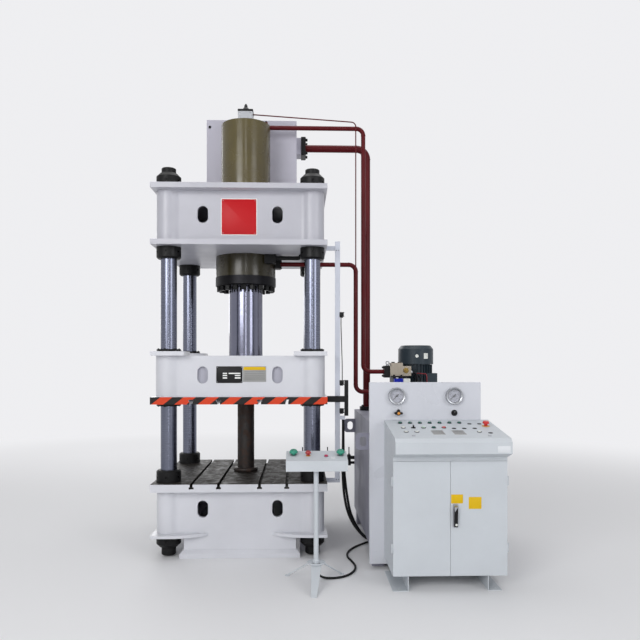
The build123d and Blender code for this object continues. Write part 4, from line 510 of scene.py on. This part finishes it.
class Shape:
    """A mesh that is put together from bevelled forms."""

    def __init__(self):
        self.bm = bmesh.new()

    def _bevel(self, edges, offset, segments=2):
        bmesh.ops.bevel(self.bm, geom=edges, offset=offset, segments=segments, profile=0.5,
                        affect="EDGES")

    def _round_off(self, edges, bevel, segments=2):
        """Bevels the edges that are bent, if there is a bevel."""
        if bevel:
            sharp = [e for e in edges
                     if len(e.link_faces) == 2 and e.calc_face_angle() > BENT_EDGE]
            self._bevel(sharp, bevel, segments)

    def _edges_of(self, verts):
        return list({e for v in verts for e in v.link_edges})

    def box(self, low, high, bevel, placed=Matrix()):
        low, high = Vector(low), Vector(high)
        size = high - low
        at = placed @ Matrix.Translation((low + high) / 2) @ Matrix.Diagonal((*size, 1))
        made = bmesh.ops.create_cube(self.bm, size=1, matrix=at)
        self._round_off(self._edges_of(made["verts"]), min(bevel, min(size) * 0.45))
        return self

    def rod(self, start, end, radius, bevel=0.0005, segments=32, end_radius=None):
        """Round or many-sided bar between two points, which may taper."""
        start, end = Vector(start), Vector(end)
        run = end - start
        made = bmesh.ops.create_cone(
            self.bm, cap_ends=True, segments=segments, radius1=radius,
            radius2=end_radius or radius, depth=run.length,
            matrix=frame_at((start + end) / 2, run),
        )
        edges = self._edges_of(made["verts"])
        if segments <= 12:
            self._round_off(edges, bevel, 1)
        else:
            self._bevel([e for e in edges if e.calc_face_angle(0) > CAP_EDGE], bevel)
        return self

    def _circle(self, placed, radius, height, segments):
        """Vertices of a circle, or one vertex where it has no radius."""
        if radius < 1e-6:
            return [self.bm.verts.new(placed @ Vector((0, 0, height)))]
        turns = [2 * pi * i / segments for i in range(segments)]
        return [
            self.bm.verts.new(placed @ Vector((radius * cos(turn), radius * sin(turn), height)))
            for turn in turns
        ]

    def ring(self, centre, direction, radius, thickness, segments, sides):
        """Torus, as for a weld bead or a rounded rim."""
        at = frame_at(centre, direction)
        rows = []
        for i in range(segments):
            turn = 2 * pi * i / segments
            row = []
            for j in range(sides):
                lift = 2 * pi * j / sides
                reach = radius + thickness * cos(lift)
                point = Vector((reach * cos(turn), reach * sin(turn), thickness * sin(lift)))
                row.append(self.bm.verts.new(at @ point))
            rows.append(row)
        for row, after in zip(rows, rows[1:] + rows[:1]):
            for j in range(sides):
                k = (j + 1) % sides
                self.bm.faces.new((row[j], after[j], after[k], row[k]))
        return self

    def lathe(self, centre, direction, profile, segments=40, hollow=False):
        """Turned solid, or hollow, from (radius, height) points in millimetres."""
        at = frame_at(centre, direction)
        rows = [self._circle(at, radius * MM, height * MM, segments) for radius, height in profile]
        for first, second in zip(rows, rows[1:] + rows[:1] if hollow else rows[1:]):
            for i in range(segments):
                j = (i + 1) % segments
                corners = [first[i % len(first)], first[j % len(first)],
                           second[j % len(second)], second[i % len(second)]]
                kept = list(dict.fromkeys(corners))
                if len(kept) > 2:
                    self.bm.faces.new(kept)
        for row, flip in ((rows[0], True), (rows[-1], False)):
            if len(row) > 1 and not hollow:
                self.bm.faces.new(list(reversed(row)) if flip else row)
        return self

    def slab(self, outline, thickness, placed):
        """Plate of a flat outline, raised along the placement's local Z."""
        base = [self.bm.verts.new(placed @ Vector((x, y, 0))) for x, y in outline]
        top = [self.bm.verts.new(placed @ Vector((x, y, thickness))) for x, y in outline]
        self.bm.faces.new(list(reversed(base)))
        lid = self.bm.faces.new(top)
        count = len(outline)
        for i in range(count):
            j = (i + 1) % count
            self.bm.faces.new((base[i], base[j], top[j], top[i]))
        self._bevel(list(lid.edges), 0.6 * MM)
        return self

    def bolt(self, seat, direction, size):
        """Hexagon bolt head with its washer, standing on a seat, by its width across flats."""
        seat, direction = Vector(seat), Vector(direction).normalized()
        height = size * 0.65
        corner_radius = size * 0.577
        foot = seat + direction * size * 0.12
        self.rod(seat, foot, size * 0.95, size * 0.03, 28)
        self.rod(foot, foot + direction * height, corner_radius, size * 0.06, 6)
        self.rod(foot + direction * height * 0.9, foot + direction * (height + size * 0.02),
                 size * 0.46, size * 0.03, 24)
        return self

    def socket_screw(self, seat, direction, radius, height):
        """Round screw head with a recess in its end, in millimetres."""
        depth = height * 0.4
        profile = ((radius, 0), (radius, height * 0.85), (radius * 0.88, height),
                   (radius * 0.5, height), (radius * 0.45, depth), (0, depth))
        return self.lathe(seat, Vector(direction).normalized(), profile, 24)

    def finish(self, name, material, slot, body="press", smooth=True):
        bmesh.ops.recalc_face_normals(self.bm, faces=self.bm.faces)
        mesh = bpy.data.meshes.new(name)
        self.bm.to_mesh(mesh)
        self.bm.free()
        if smooth:
            smooth_faces(mesh, 38)
        add_piece(name, mesh, material, body)


def rounded(width, height, radius):
    """Outline of a rectangle with round corners, around its own centre."""
    points = []
    steps = 5
    for corner, (sx, sy) in enumerate(((1, 1), (-1, 1), (-1, -1), (1, -1))):
        for i in range(steps + 1):
            turn = pi / 2 * (corner + i / steps)
            points.append((sx * (width / 2 - radius) + radius * cos(turn),
                           sy * (height / 2 - radius) + radius * sin(turn)))
    return points


# Soft shading of the CAD nodes' round faces
for node in nodes.values():
    smooth_faces(node.data, 30)


# Cords, with the same points as the solids, and small pipes

def tube_curve(name, points, radius, resolution, roundness):
    """Curve with a round section through points, all in millimetres."""
    curve = bpy.data.curves.new(name, "CURVE")
    curve.dimensions = "3D"
    spline = curve.splines.new("NURBS")
    spline.points.add(len(points) - 1)
    for point, place in zip(spline.points, points):
        point.co = (*(value * MM for value in place), 1)
    spline.order_u = 3
    spline.use_endpoint_u = True
    spline.resolution_u = resolution
    curve.bevel_depth = radius * MM
    curve.bevel_resolution = roundness
    curve.use_fill_caps = True
    return curve


def free_cord(name, replaced, diameter, points):
    """Sheath of a hanging cord that ends on the object at both ends."""
    curve = tube_curve(name, points, diameter / 2, 10, 6)
    piece = add_piece(name, curve, rubber)
    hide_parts(replaced)


def bent_tube(name, points, radius, material):
    """Rigid small pipe through points, which lie close together at its bends."""
    add_piece(name, tube_curve(name, points, radius, 8, 5), material)


LIE = 8.5  # height of the floor cable's middle where it lies, in millimetres
free_cord("floor_cable_sheath", "floor_cable", 16, (
    (573, -1130, 114), (573, -1130, 84), (582, -1115, 48), (620, -1095, 14),
    (680, -1092, LIE), (740, -1078, LIE), (792, -1040, LIE), (832, -982, LIE),
    (860, -910, LIE), (872, -816, LIE), (852, -706, LIE), (826, -600, LIE),
    (834, -488, LIE), (870, -392, LIE), (925, -305, LIE), (985, -232, LIE),
    (1045, -165, LIE), (1092, -100, LIE), (1115, -40, LIE), (1115, 10, LIE),
))
free_cord("conduit_sheath_left", "conduit_left", 20, (
    (805, -433, 1052), (805, -433, 930), (804, -431, 800), (801, -432, 670),
    (805, -430, 545), (817, -432, 425), (841, -434, 315), (883, -432, 225),
    (932, -429, 158), (985, -426, 106), (1040, -424, 84), (1090, -424, 84),
))
free_cord("conduit_sheath_right", "conduit_right", 20, (
    (809, -410, 1052), (809, -410, 930), (810, -408, 800), (814, -410, 670),
    (825, -408, 545), (840, -409, 430), (860, -411, 322), (895, -409, 232),
    (938, -406, 158), (988, -403, 104), (1042, -400, 83), (1090, -400, 83),
))
free_cord("switch_lead_sheath", "switch_lead", 7, (
    (791, -400, 1863), (791, -400, 1800), (793, -400, 1735), (795.5, -400, 1668),
    (797, -400, 1600), (799.5, -400, 1530), (801, -400, 1465), (801, -400, 1363),
))


# Plates and small fittings on the press

beam_front = -547 * MM
slide_front = -553 * MM
door_front = -1340 * MM
lip_front = -1446 * MM


def flat_plate(name, span, front, thickness, radius, material, slot, body="press"):
    """Plate on an upright front face, over a span (x0, x1, z0, z1) in millimetres."""
    x0, x1, z0, z1 = span
    placed = frame_at(((x0 + x1) / 2 * MM, front, (z0 + z1) / 2 * MM), FRONT)
    outline = rounded((x1 - x0) * MM, (z1 - z0) * MM, radius)
    Shape().slab(outline, thickness, placed).finish(name, material, slot, body)


def corner_rivets(name, span, front, inset, body="press"):
    x0, x1, z0, z1 = span
    shape = Shape()
    for x in (x0 + inset, x1 - inset):
        for z in (z0 + inset, z1 - inset):
            shape.lathe((x * MM, front, z * MM), FRONT,
                        ((3, 0), (3, 0.6), (1.6, 1.6), (0, 1.8)), 16)
    shape.finish(name, bare_steel, "bare_steel", body)


def print_bars(name, spans, front, back, material):
    """Flat bars in place of the print on a plate of the slide, between two depths."""
    shape = Shape()
    for x0, x1, z0, z1 in spans:
        shape.box((x0 * MM, slide_front - front, z0 * MM),
                  (x1 * MM, slide_front - back, z1 * MM), 0)
    shape.finish(name, material, None, "slide")


RED_PLATE = (-142, 125, 2495, 2767)
BLACK_PLATE = (-183, 18, 1346, 1475)
GREY_PLATE = (22, 201, 1355, 1475)
red_face, black_face, grey_face = 0.002, 0.002, 0.0015
flat_plate("beam_plate_border", (-148, 131, 2489, 2773), beam_front, 0.0012, 0.006,
           dial_white, None)
flat_plate("beam_plate_red", RED_PLATE, beam_front, red_face, 0.004, red_plate, "red_plastic")
corner_rivets("beam_plate_rivets", RED_PLATE, beam_front - red_face, 10)
flat_plate("slide_plate_black", BLACK_PLATE, slide_front, black_face, 0.003,
           black_plate, "black_paint", "slide")
flat_plate("slide_plate_grey", GREY_PLATE, slide_front, grey_face, 0.003,
           grey_plate, "zinc", "slide")
flat_plate("slide_plate_yellow", (26, 197, 1446, 1471), slide_front - grey_face, 0.0006, 0.002,
           yellow_plate, "bare_steel", "slide")
print_bars("slide_plate_fields", (
    (-133, -100, 1416, 1425), (-133, -100, 1400, 1409), (-133, -100, 1380, 1391),
    (-88, 3, 1416, 1425), (-40, 3, 1400, 1409), (-40, 3, 1380, 1391),
), 0.0023, 0.0019, dial_white)
print_bars("slide_plate_rules", [(34, 190, z, z + 2.2) for z in range(1436, 1375, -15)],
           0.0017, 0.0014, ink)
corner_rivets("slide_plate_rivets_black", BLACK_PLATE, slide_front - black_face, 8, "slide")
corner_rivets("slide_plate_rivets_grey", GREY_PLATE, slide_front - grey_face, 7, "slide")


def screws(name, places, direction, radius, height, material=nut_steel, slot="nut_steel",
           body="press"):
    """Socket head screws, in millimetres."""
    shape = Shape()
    for place in places:
        shape.socket_screw(at(*place), direction, radius, height)
    shape.finish(name, material, slot, body)


def bolts(name, places, direction, size):
    """Hexagon bolts of the press with washers, in millimetres across flats."""
    shape = Shape()
    for place in places:
        shape.bolt(at(*place), direction, size * MM)
    shape.finish(name, nut_steel, "nut_steel")


def circle(x, y, radius, count, first):
    """Places on a circle in millimetres, from a first angle in radians."""
    turns = [2 * pi * i / count + first for i in range(count)]
    return [(x + radius * cos(turn), y + radius * sin(turn)) for turn in turns]


# Screws of the wiper rings, above and below the slide, round the four columns
ring_low, ring_high = (corner.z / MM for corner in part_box("bush_rings"))
ring_screws = [place for x, y in grid(560, 485) for place in circle(x, y, 79, 6, 0.3)]
screws("ring_screws_top", [(x, y, ring_high) for x, y in ring_screws], UP, 6.5, 6, body="slide")
screws("ring_screws_bottom", [(x, y, ring_low) for x, y in ring_screws], DOWN, 6.5, 6,
       body="slide")

# Bolts of the pipe flanges and blocks, and the cover of the top block
bolts("suction_flange_bolts", [(515, 480 + y, 3502 + z) for y, z in grid(60, 60)], RIGHT, 24)
bolts("suction_foot_bolts", [(1088 + x, 480 + y, 1095) for x, y in grid(35, 35)], UP, 16)
screws("manifold_flange_screws", [(1200, 100 + y, 1425 + z) for y, z in grid(37, 37)],
       LEFT, 9, 12)
screws("return_flange_screws", [(296.5, y, 2347 + z) for y, z in grid(29, 29)], RIGHT, 7.5, 10)
screws("forming_block_screws", [(142 + x, 100 + y, 3590) for x, y in grid(28, 28)], UP, 9, 11)
Shape().box(at(-65, -65, 3637), at(65, 65, 3657.5), 0.004).finish(
    "top_block_cover", black_paint, "black_paint")
screws("head_screws_top", [(x, y, 1502) for x in (1281, 1337) for y in (55, 145)], UP, 9, 9)
screws("head_screws_front", [(x, -8, 1389) for x in (1275, 1338)], UP, 9, 11)

# Weld beads where the pipes meet their elbows and flanges
bead = Shape()
for place, direction, radius in (
    ((958, 100, 3556), RIGHT, 19), ((1018, 100, 3496), UP, 19),
    ((1018, 100, 1485), UP, 19), ((1078, 100, 1425), RIGHT, 19),
    ((993, 480, 3502), RIGHT, 33), ((1088, 480, 3407), UP, 33),
    ((884, 0, 2347), RIGHT, 19), ((944, 0, 2287), UP, 19),
    ((944, 0, 1313), UP, 19), ((1004, 0, 1253), RIGHT, 19),
    ((516, 480, 3502), RIGHT, 34), ((1088, 480, 1097), UP, 34),
    ((186, 100, 3556), RIGHT, 20), ((1198, 100, 1425), RIGHT, 20),
):
    bead.ring(at(*place), direction, radius * MM, 2.6 * MM, 36, 8)
bead.finish("pipe_welds", pipe_paint, "pipe_paint")

# Block clamps on the two lines behind the press, with studs that stand up from them
clamps = Shape()
studs = Shape()
for x, lower in ((489, 486), (731, 510), (939, 510)):
    clamps.box(at(x - 17, 678, lower), at(x + 17, 722, lower + 102), 0.003)
    studs.rod(at(x, 700, lower + 100), at(x, 700, 676), 0.005)
    studs.bolt(at(x, 700, lower + 102), UP, 16 * MM)
    studs.rod(at(x, 700, 674), at(x, 700, 686), 0.0062, 0.001, 6)
clamps.finish("line_clamps", black_plastic, "black_plastic")
studs.finish("line_studs", dark_steel, "dark_steel")

# Rail: screws at its ends, and a star knob with its clamp at each switch
screws("rail_screws", [(x, -410, z) for x in (754, 772) for z in (2400, 570.5)], FRONT, 3.4, 2)
knobs = Shape()
for z in (1885, 1341, 1117):
    knobs.box(at(778, -413, z - 12), at(789, -387, z + 14), 0.002)
    knobs.rod(at(797, -408, z + 3), at(797, -420, z + 3), 0.016, 0.002)
    for x, tip_z in circle(797, z + 3, 25, 4, pi / 4):
        knobs.rod(at(797, -415, z + 3), at(x, -415, tip_z), 0.0055, 0.0008, 20, 0.004)
knobs.finish("switch_clamps", black_plastic, "black_plastic")

# Eyelet on the prefill tank
eyelet = Shape()
eyelet.ring(at(-339, 228, 3603), BACK, 0.009, 0.0035, 28, 8)
eyelet.rod(at(-339, 230, 3603), at(-339, 229, 3603), 0.008, 0.0002)
eyelet.finish("tank_eyelet", dark_steel, "dark_steel")

# Manifold: eyebolt, brass plug, coil nut, connector screw, and small pipes with their unions
eye = Shape()
eye.rod(at(1232, 100, 1477), at(1232, 100, 1484), 0.014, 0.002)
eye.ring(at(1232, 100, 1501), BACK, 0.0135, 0.0045, 36, 10)
eye.finish("manifold_eyebolt", bare_steel, "bare_steel")
plug = Shape()
plug.lathe(at(1384.5, 30, 1436), FRONT,
           ((23.5, 0), (23.5, 4), (21.5, 6), (16.5, 6), (15.5, 12), (0, 12)))
plug.rod(at(1384.5, 18.5, 1436), at(1384.5, 9, 1436), 0.0125, 0.001, 6)
plug.finish("manifold_plug", brass, "bronze")
Shape().lathe(
    at(1290, -80, 1368), UP, ((13, 0), (13, 7), (11, 9), (0, 9)), 24
).finish("coil_nut", zinc, "zinc")
screws("connector_screw", [(1368, -80, 1368)], UP, 5, 3, zinc, "zinc")
FRONT_UNION, BACK_UNION, PILOT_UNION = (1430, 62, 1420), (1430, 110, 1400), (1430, 132, 1412)
bent_tube("pilot_tube_red", (
    PILOT_UNION, (1490, 132, 1410), (1560, 132, 1406), (1580, 132, 1404), (1586, 132, 1384),
    (1589, 132, 1320), (1590, 132, 1059)), 4.5, tube_red)
bent_tube("manifold_tube_front", (
    FRONT_UNION, (1452, 62, 1419), (1474, 62, 1412), (1486, 64, 1388), (1490, 70, 1300),
    (1490, 70, 1059)), 10, dark_steel)
bent_tube("manifold_tube_back", (
    BACK_UNION, (1470, 110, 1399), (1512, 110, 1392), (1528, 110, 1370), (1530, 108, 1290),
    (1530, 105, 1059)), 8, dark_steel)
unions = Shape()
for (x, y, z), radius in ((FRONT_UNION, 15), (BACK_UNION, 13), (PILOT_UNION, 9)):
    unions.rod(at(x, y, z), at(x + 14, y, z), radius * MM, 0.001, 6)
unions.finish("manifold_unions", bare_steel, "bare_steel")

# Motor: bolts of its lower flange, and bare stickers on its fan cover
motor_x, motor_y, flange_thickness = 1526, 350, 18
flange_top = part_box("motor")[0].z / MM + flange_thickness
motor_bolts = circle(motor_x, motor_y, 140, 8, 0.2)
bolts("motor_bolts", [(x, y, flange_top) for x, y in motor_bolts], UP, 15)


def cover_sticker(name, heading, width, height, disc=False):
    """Bare sticker that follows the round side of the fan cover."""
    radius, middle = 159.25 * MM, 1564
    steps = 12
    bm = bmesh.new()
    rows = []
    for j in range(steps + 1):
        row = []
        for i in range(steps + 1):
            u, v = 2 * i / steps - 1, 2 * j / steps - 1
            if disc:
                u, v = u * (1 - v * v / 2) ** 0.5, v * (1 - u * u / 2) ** 0.5
            turn = radians(heading) + u * width / 2 * MM / radius
            row.append(bm.verts.new((
                motor_x * MM + radius * cos(turn), motor_y * MM + radius * sin(turn),
                (middle + v * height / 2) * MM)))
        rows.append(row)
    for low, high in zip(rows, rows[1:]):
        for i in range(steps):
            bm.faces.new((low[i], low[i + 1], high[i + 1], high[i]))
    mesh = bpy.data.meshes.new(name)
    bm.to_mesh(mesh)
    bm.free()
    add_piece(name, mesh, white_plastic)


cover_sticker("cover_sticker_round", 264, 30, 30, disc=True)
cover_sticker("cover_sticker_plain", 295, 44, 50)

# Gauges: round bezels, scales, glass and hub caps
GAUGE_Z = 1261
SCALE_START, SCALE_SWEEP = 225, 270  # degrees
MARK_STEPS, FIGURE_STEPS = 40, 4
SCALE_EDGE, FIGURE_REACH = 45, 30.5
BEZEL = ((62.2, 0), (62.2, 3.5), (60.5, 6), (55.5, 6), (47.8, 1), (47.5, -12))


def scale_turn(step, steps):
    """Angle of a mark of the scale, in radians."""
    return radians(SCALE_START - SCALE_SWEEP * step / steps)


def number_mesh(text):
    """Flat mesh of a figure for a dial."""
    letters = bpy.data.curves.new("figure", "FONT")
    letters.body = text
    letters.size = 10 * MM
    letters.align_x = "CENTER"
    letters.align_y = "CENTER"
    holder = add_object("figure", letters)
    bpy.context.view_layer.update()
    drawn = holder.evaluated_get(bpy.context.evaluated_depsgraph_get())
    mesh = bpy.data.meshes.new_from_object(drawn)
    bpy.data.objects.remove(holder)
    return mesh


for x, side in ((1165, "left"), (1584, "right")):
    Shape().lathe(at(x, -911, GAUGE_Z), FRONT, BEZEL, 64, True).finish(
        f"gauge_bezel_{side}", bare_steel, "gauge_case")
    marks = Shape()
    dial = frame_at(at(x, -895.1, GAUGE_Z), FRONT)
    for i in range(MARK_STEPS + 1):
        long = i % 10 == 0
        middle = i % 5 == 0
        inner = 38 if long else 40.5 if middle else 42
        half = 0.55 if long else 0.35
        placed = dial @ Matrix.Rotation(scale_turn(i, MARK_STEPS), 4, "Z")
        marks.box((inner * MM, -half * MM, 0), (SCALE_EDGE * MM, half * MM, 0.3 * MM), 0, placed)
    for i in range(FIGURE_STEPS + 1):
        turn = scale_turn(i, FIGURE_STEPS)
        figure = number_mesh(str(10 * i))
        figure.transform(frame_at(
            at(x + FIGURE_REACH * cos(turn), -895.3, GAUGE_Z + FIGURE_REACH * sin(turn)), FRONT))
        marks.bm.from_mesh(figure)
        bpy.data.meshes.remove(figure)
    marks.finish(f"gauge_scale_{side}", ink, "gauge_needle", smooth=False)
    Shape().lathe(
        at(x, -910.5, GAUGE_Z), FRONT, ((47.4, 0), (47.4, 1.5), (0, 2.2)), 48
    ).finish(f"gauge_glass_{side}", clear_glass, None)
    Shape().lathe(
        at(x, -903.4, GAUGE_Z), FRONT, ((7, 0), (6.4, 1.2), (0, 1.8)), 24
    ).finish(f"pointer_cap_{side}", ink, "gauge_needle", f"pointer_{side}")

# Cap and seat of the gauge valve, and the mark on the panel knob
valve_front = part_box("gauge_valve_knob")[0].y / MM
knob_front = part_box("panel_knob")[0].y / MM
Shape().lathe(
    at(1174, valve_front, 1137), FRONT, ((9.5, 0), (9.5, 1.5), (7.5, 3), (0, 3.5)), 32
).finish("gauge_valve_cap", amber_plastic, "red_plastic", "gauge_valve_knob")
Shape().lathe(
    at(1174, -885, 1137), FRONT, ((19, 0), (19, 3), (16.5, 5), (9.5, 5)), 32
).finish("gauge_valve_seat", bare_steel, "bare_steel")
Shape().box(
    at(1586.2, knob_front - 0.5, 1141), at(1587.8, knob_front, 1151), 0.0001
).finish("panel_knob_mark", white_plastic, None, "panel_knob")


# Control desk: blanking plugs, empty rings, plates, screws and the selector's mark

def on_panel(panel, places, profile, name, material, slot, segments=32, hollow=False):
    """The same turned part at several places of a sloped panel."""
    shape = Shape()
    for x, up in places:
        shape.lathe(panel.point(x, up), panel.normal, profile, segments, hollow)
    shape.finish(name, material, slot)


on_panel(desk_panel,
         ((1663, 403), (1733, 402), (1521, 270), (1592, 269), (1664, 268), (1737, 140)),
         ((15.5, 0), (15.5, 1.5), (13.5, 3), (0, 3.2)),
         "desk_plugs", black_plastic, "black_plastic")
EMPTY_RINGS = ((1175, 175), (1247, 174), (1670, 169))
on_panel(desk_panel, EMPTY_RINGS,
         ((16.5, 0), (16.5, 3), (15.5, 4), (14, 4), (13.2, 3), (13, 0.5)),
         "desk_rings", black_plastic, "black_plastic", hollow=True)
on_panel(desk_panel, EMPTY_RINGS, ((12.9, 0), (12.9, 3), (10.5, 6), (0, 6.8)),
         "desk_ring_caps", white_plastic, None)
on_panel(desk_panel, ((1207, 67), (1709, 59)), ((11, 0), (11, 2), (8, 5), (0, 6)),
         "desk_lid_screws", zinc, "zinc", 24)
plates, lines = Shape(), Shape()
for x, up in ((1387, 159), (1528, 157)):
    plates.slab(rounded(0.08, 0.115, 0.003), 0.0008, desk_panel.placed(x, up))
    for row in range(5):
        placed = desk_panel.placed(x, up + 40 - row * 20, 0.8)
        lines.box((-0.034, -0.0006, 0), (0.034, 0.0006, 0.0002), 0, placed)
plates.finish("desk_plates", grey_plate, "zinc")
lines.finish("desk_plate_lines", dark_steel, "dark_steel")
selector_top = 20
Shape().box(
    (-0.0012, 0.001, 0), (0.0012, 0.013, 0.0005), 0.0001,
    desk_panel.placed(*DESK_SELECTOR, selector_top)
).finish("selector_mark", white_plastic, None, "selector")
flat_plate("desk_lip_sticker", (1736, 1818, 923, 966), lip_front, 0.0004, 0.002,
           pale_sticker, None)

# Plain stickers on the right door, and the key boss of its handle
flat_plate("door_sticker_upper", (1457, 1536, 575, 634), door_front, 0.0004, 0.002,
           yellow_plate, None, "door_right")
flat_plate("door_sticker_lower", (1574, 1659, 538, 617), door_front, 0.0004, 0.004,
           yellow_plate, None, "door_right")
lever_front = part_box("handle_lever")[0].y / MM
Shape().lathe(
    at(1486, lever_front, 440), FRONT, ((7.5, 0), (7.5, 1), (6, 2), (0, 2)), 28
).finish("handle_key_boss", white_plastic, None, "handle_lever")

# Stand: rings of its palm buttons, screws through its disc, a collar at each end of its
# post, and a plain plate on the button box
on_panel(box_panel, PALM_PLACES,
         ((23.5, 0), (23.5, 3.5), (21.5, 4.8), (17.5, 4.8), (16.3, 3.5), (16.3, 0)),
         "palm_rings", bare_steel, "zinc", hollow=True)
screws("stand_screws", [(573 + x, -1172, 136) for x in (-20, 20)],
       UP, 6.5, 5, bare_steel, "bare_steel")
collar = Shape()
collar.lathe(at(573, -1130, 136), UP,
             ((24, 0), (24, 12), (20.5, 16), (17.2, 16), (17.2, 0)), hollow=True)
collar.lathe(at(573, -1130, 769), DOWN,
             ((30, 0), (30, 4), (21.5, 7), (17.2, 18), (17.2, 0)), hollow=True)
collar.finish("stand_collars", cabinet_coat, "cabinet_paint")
Shape().slab(rounded(0.03, 0.04, 0.002), 0.0006, box_panel.placed(688, 60)).finish(
    "button_box_plate", pale_sticker, None)


# Stage, lights and camera

PALE = (0.86, 0.86, 0.88, 1)
FLOOR_GREY = (0.8, 0.8, 0.81, 1)
FLOOR_REACH = 40
FADE_START, FADE_END = 2.5, 9.0  # metres from the middle of the floor
CAMERA_PLACE = (0.4566, -5.593, 1.5)
CAMERA_HEADING = -1.833


def seen_rays(tree):
    """One for rays from the camera, straight or by way of gloss and glass."""
    rays = add_node(tree, "LightPath").outputs
    either = rays["Is Camera Ray"]
    for kind in ("Is Glossy Ray", "Is Transmission Ray"):
        inputs = {0: either, 1: rays[kind]}
        either = add_node(tree, "Math", inputs, operation="MAXIMUM").outputs[0]
    return either


def blend(tree, factor, first, second, output):
    """Mixes two shaders and makes them what a material or world shows."""
    mix = add_node(tree, "MixShader", {0: factor, 1: first, 2: second})
    tree.links.new(mix.outputs[0], tree.nodes[output].inputs["Surface"])


def studio_floor():
    """Grey floor that fades into the background away from the object."""
    material = bpy.data.materials.new("studio_floor")
    material.use_nodes = True
    tree = material.node_tree
    surface = tree.nodes["Principled BSDF"]
    surface.inputs["Base Color"].default_value = FLOOR_GREY
    surface.inputs["Roughness"].default_value = 0.75
    place = add_node(tree, "TexCoord").outputs["Object"]
    away = add_node(tree, "VectorMath", {0: place}, operation="LENGTH")
    fade = add_node(
        tree, "MapRange",
        {"Value": away.outputs["Value"], "From Min": FADE_START, "From Max": FADE_END},
        interpolation_type="SMOOTHSTEP",
    )
    glow = add_node(tree, "Emission", {"Color": PALE})
    shown = add_node(tree, "Math", {0: fade.outputs["Result"], 1: seen_rays(tree)},
                     operation="MULTIPLY")
    blend(tree, shown.outputs[0], surface.outputs[0], glow.outputs[0], "Material Output")

    corners = [(x, y, 0) for x, y in grid(FLOOR_REACH, FLOOR_REACH)]
    mesh = bpy.data.meshes.new("studio_floor")
    mesh.from_pydata(corners, [], [(0, 2, 3, 1)])
    mesh.materials.append(material)
    floor = add_object("studio_floor", mesh)
    floor.location.z = -0.0005


def studio_world():
    """Weak light from all sides, before the pale background that is seen."""
    world = bpy.data.worlds.new("studio")
    bpy.context.scene.world = world
    world.use_nodes = True
    tree = world.node_tree
    lit = tree.nodes["Background"]
    lit.inputs["Color"].default_value = (0.96, 0.97, 1.0, 1)
    lit.inputs["Strength"].default_value = 0.3
    seen = add_node(tree, "Background", {"Color": PALE})
    blend(tree, seen_rays(tree), lit.outputs[0], seen.outputs[0], "World Output")


def softbox(name, place, target, size, power, tint=(1, 1, 1)):
    """Area light that faces a target, by its size in metres and its power in watts."""
    data = bpy.data.lights.new(name, "AREA")
    data.shape = "RECTANGLE"
    data.size, data.size_y = size
    data.energy = power
    data.color = tint
    lamp = add_object(name, data)
    lamp.location = place
    lamp.rotation_euler = (Vector(target) - Vector(place)).to_track_quat("-Z", "Y").to_euler()


def photo_camera():
    """Upright camera of the photo, shifted and not tilted."""
    data = bpy.data.cameras.new("camera")
    data.lens = 36.5625
    data.sensor_width = 36
    data.shift_y = 0.0673
    data.clip_end = 200
    camera = add_object("camera", data)
    camera.location = CAMERA_PLACE
    camera.rotation_euler = (radians(90), 0, radians(CAMERA_HEADING))
    bpy.context.scene.camera = camera


bpy.context.scene.view_settings.view_transform = "Standard"
studio_floor()
studio_world()
softbox("key", (-3.9, -8.6, 4.3), (0.4, 0, 1.3), (4.0, 4.0), 340)
softbox("fill", (6.2, -6.8, 3.8), (0.8, 0, 1.3), (3.0, 4.5), 170, (0.97, 0.98, 1.0))
softbox("strip", (0.62, -8.2, 3.2), (0.2, 0, 2.4), (0.35, 6.5), 60)
softbox("overhead", (0.4, 0.5, 8.0), (0.4, 0, 0), (6.0, 6.0), 200)
softbox("back", (-2.5, 6.5, 4.0), (0.2, 0, 1.8), (4.0, 4.0), 120)
photo_camera()
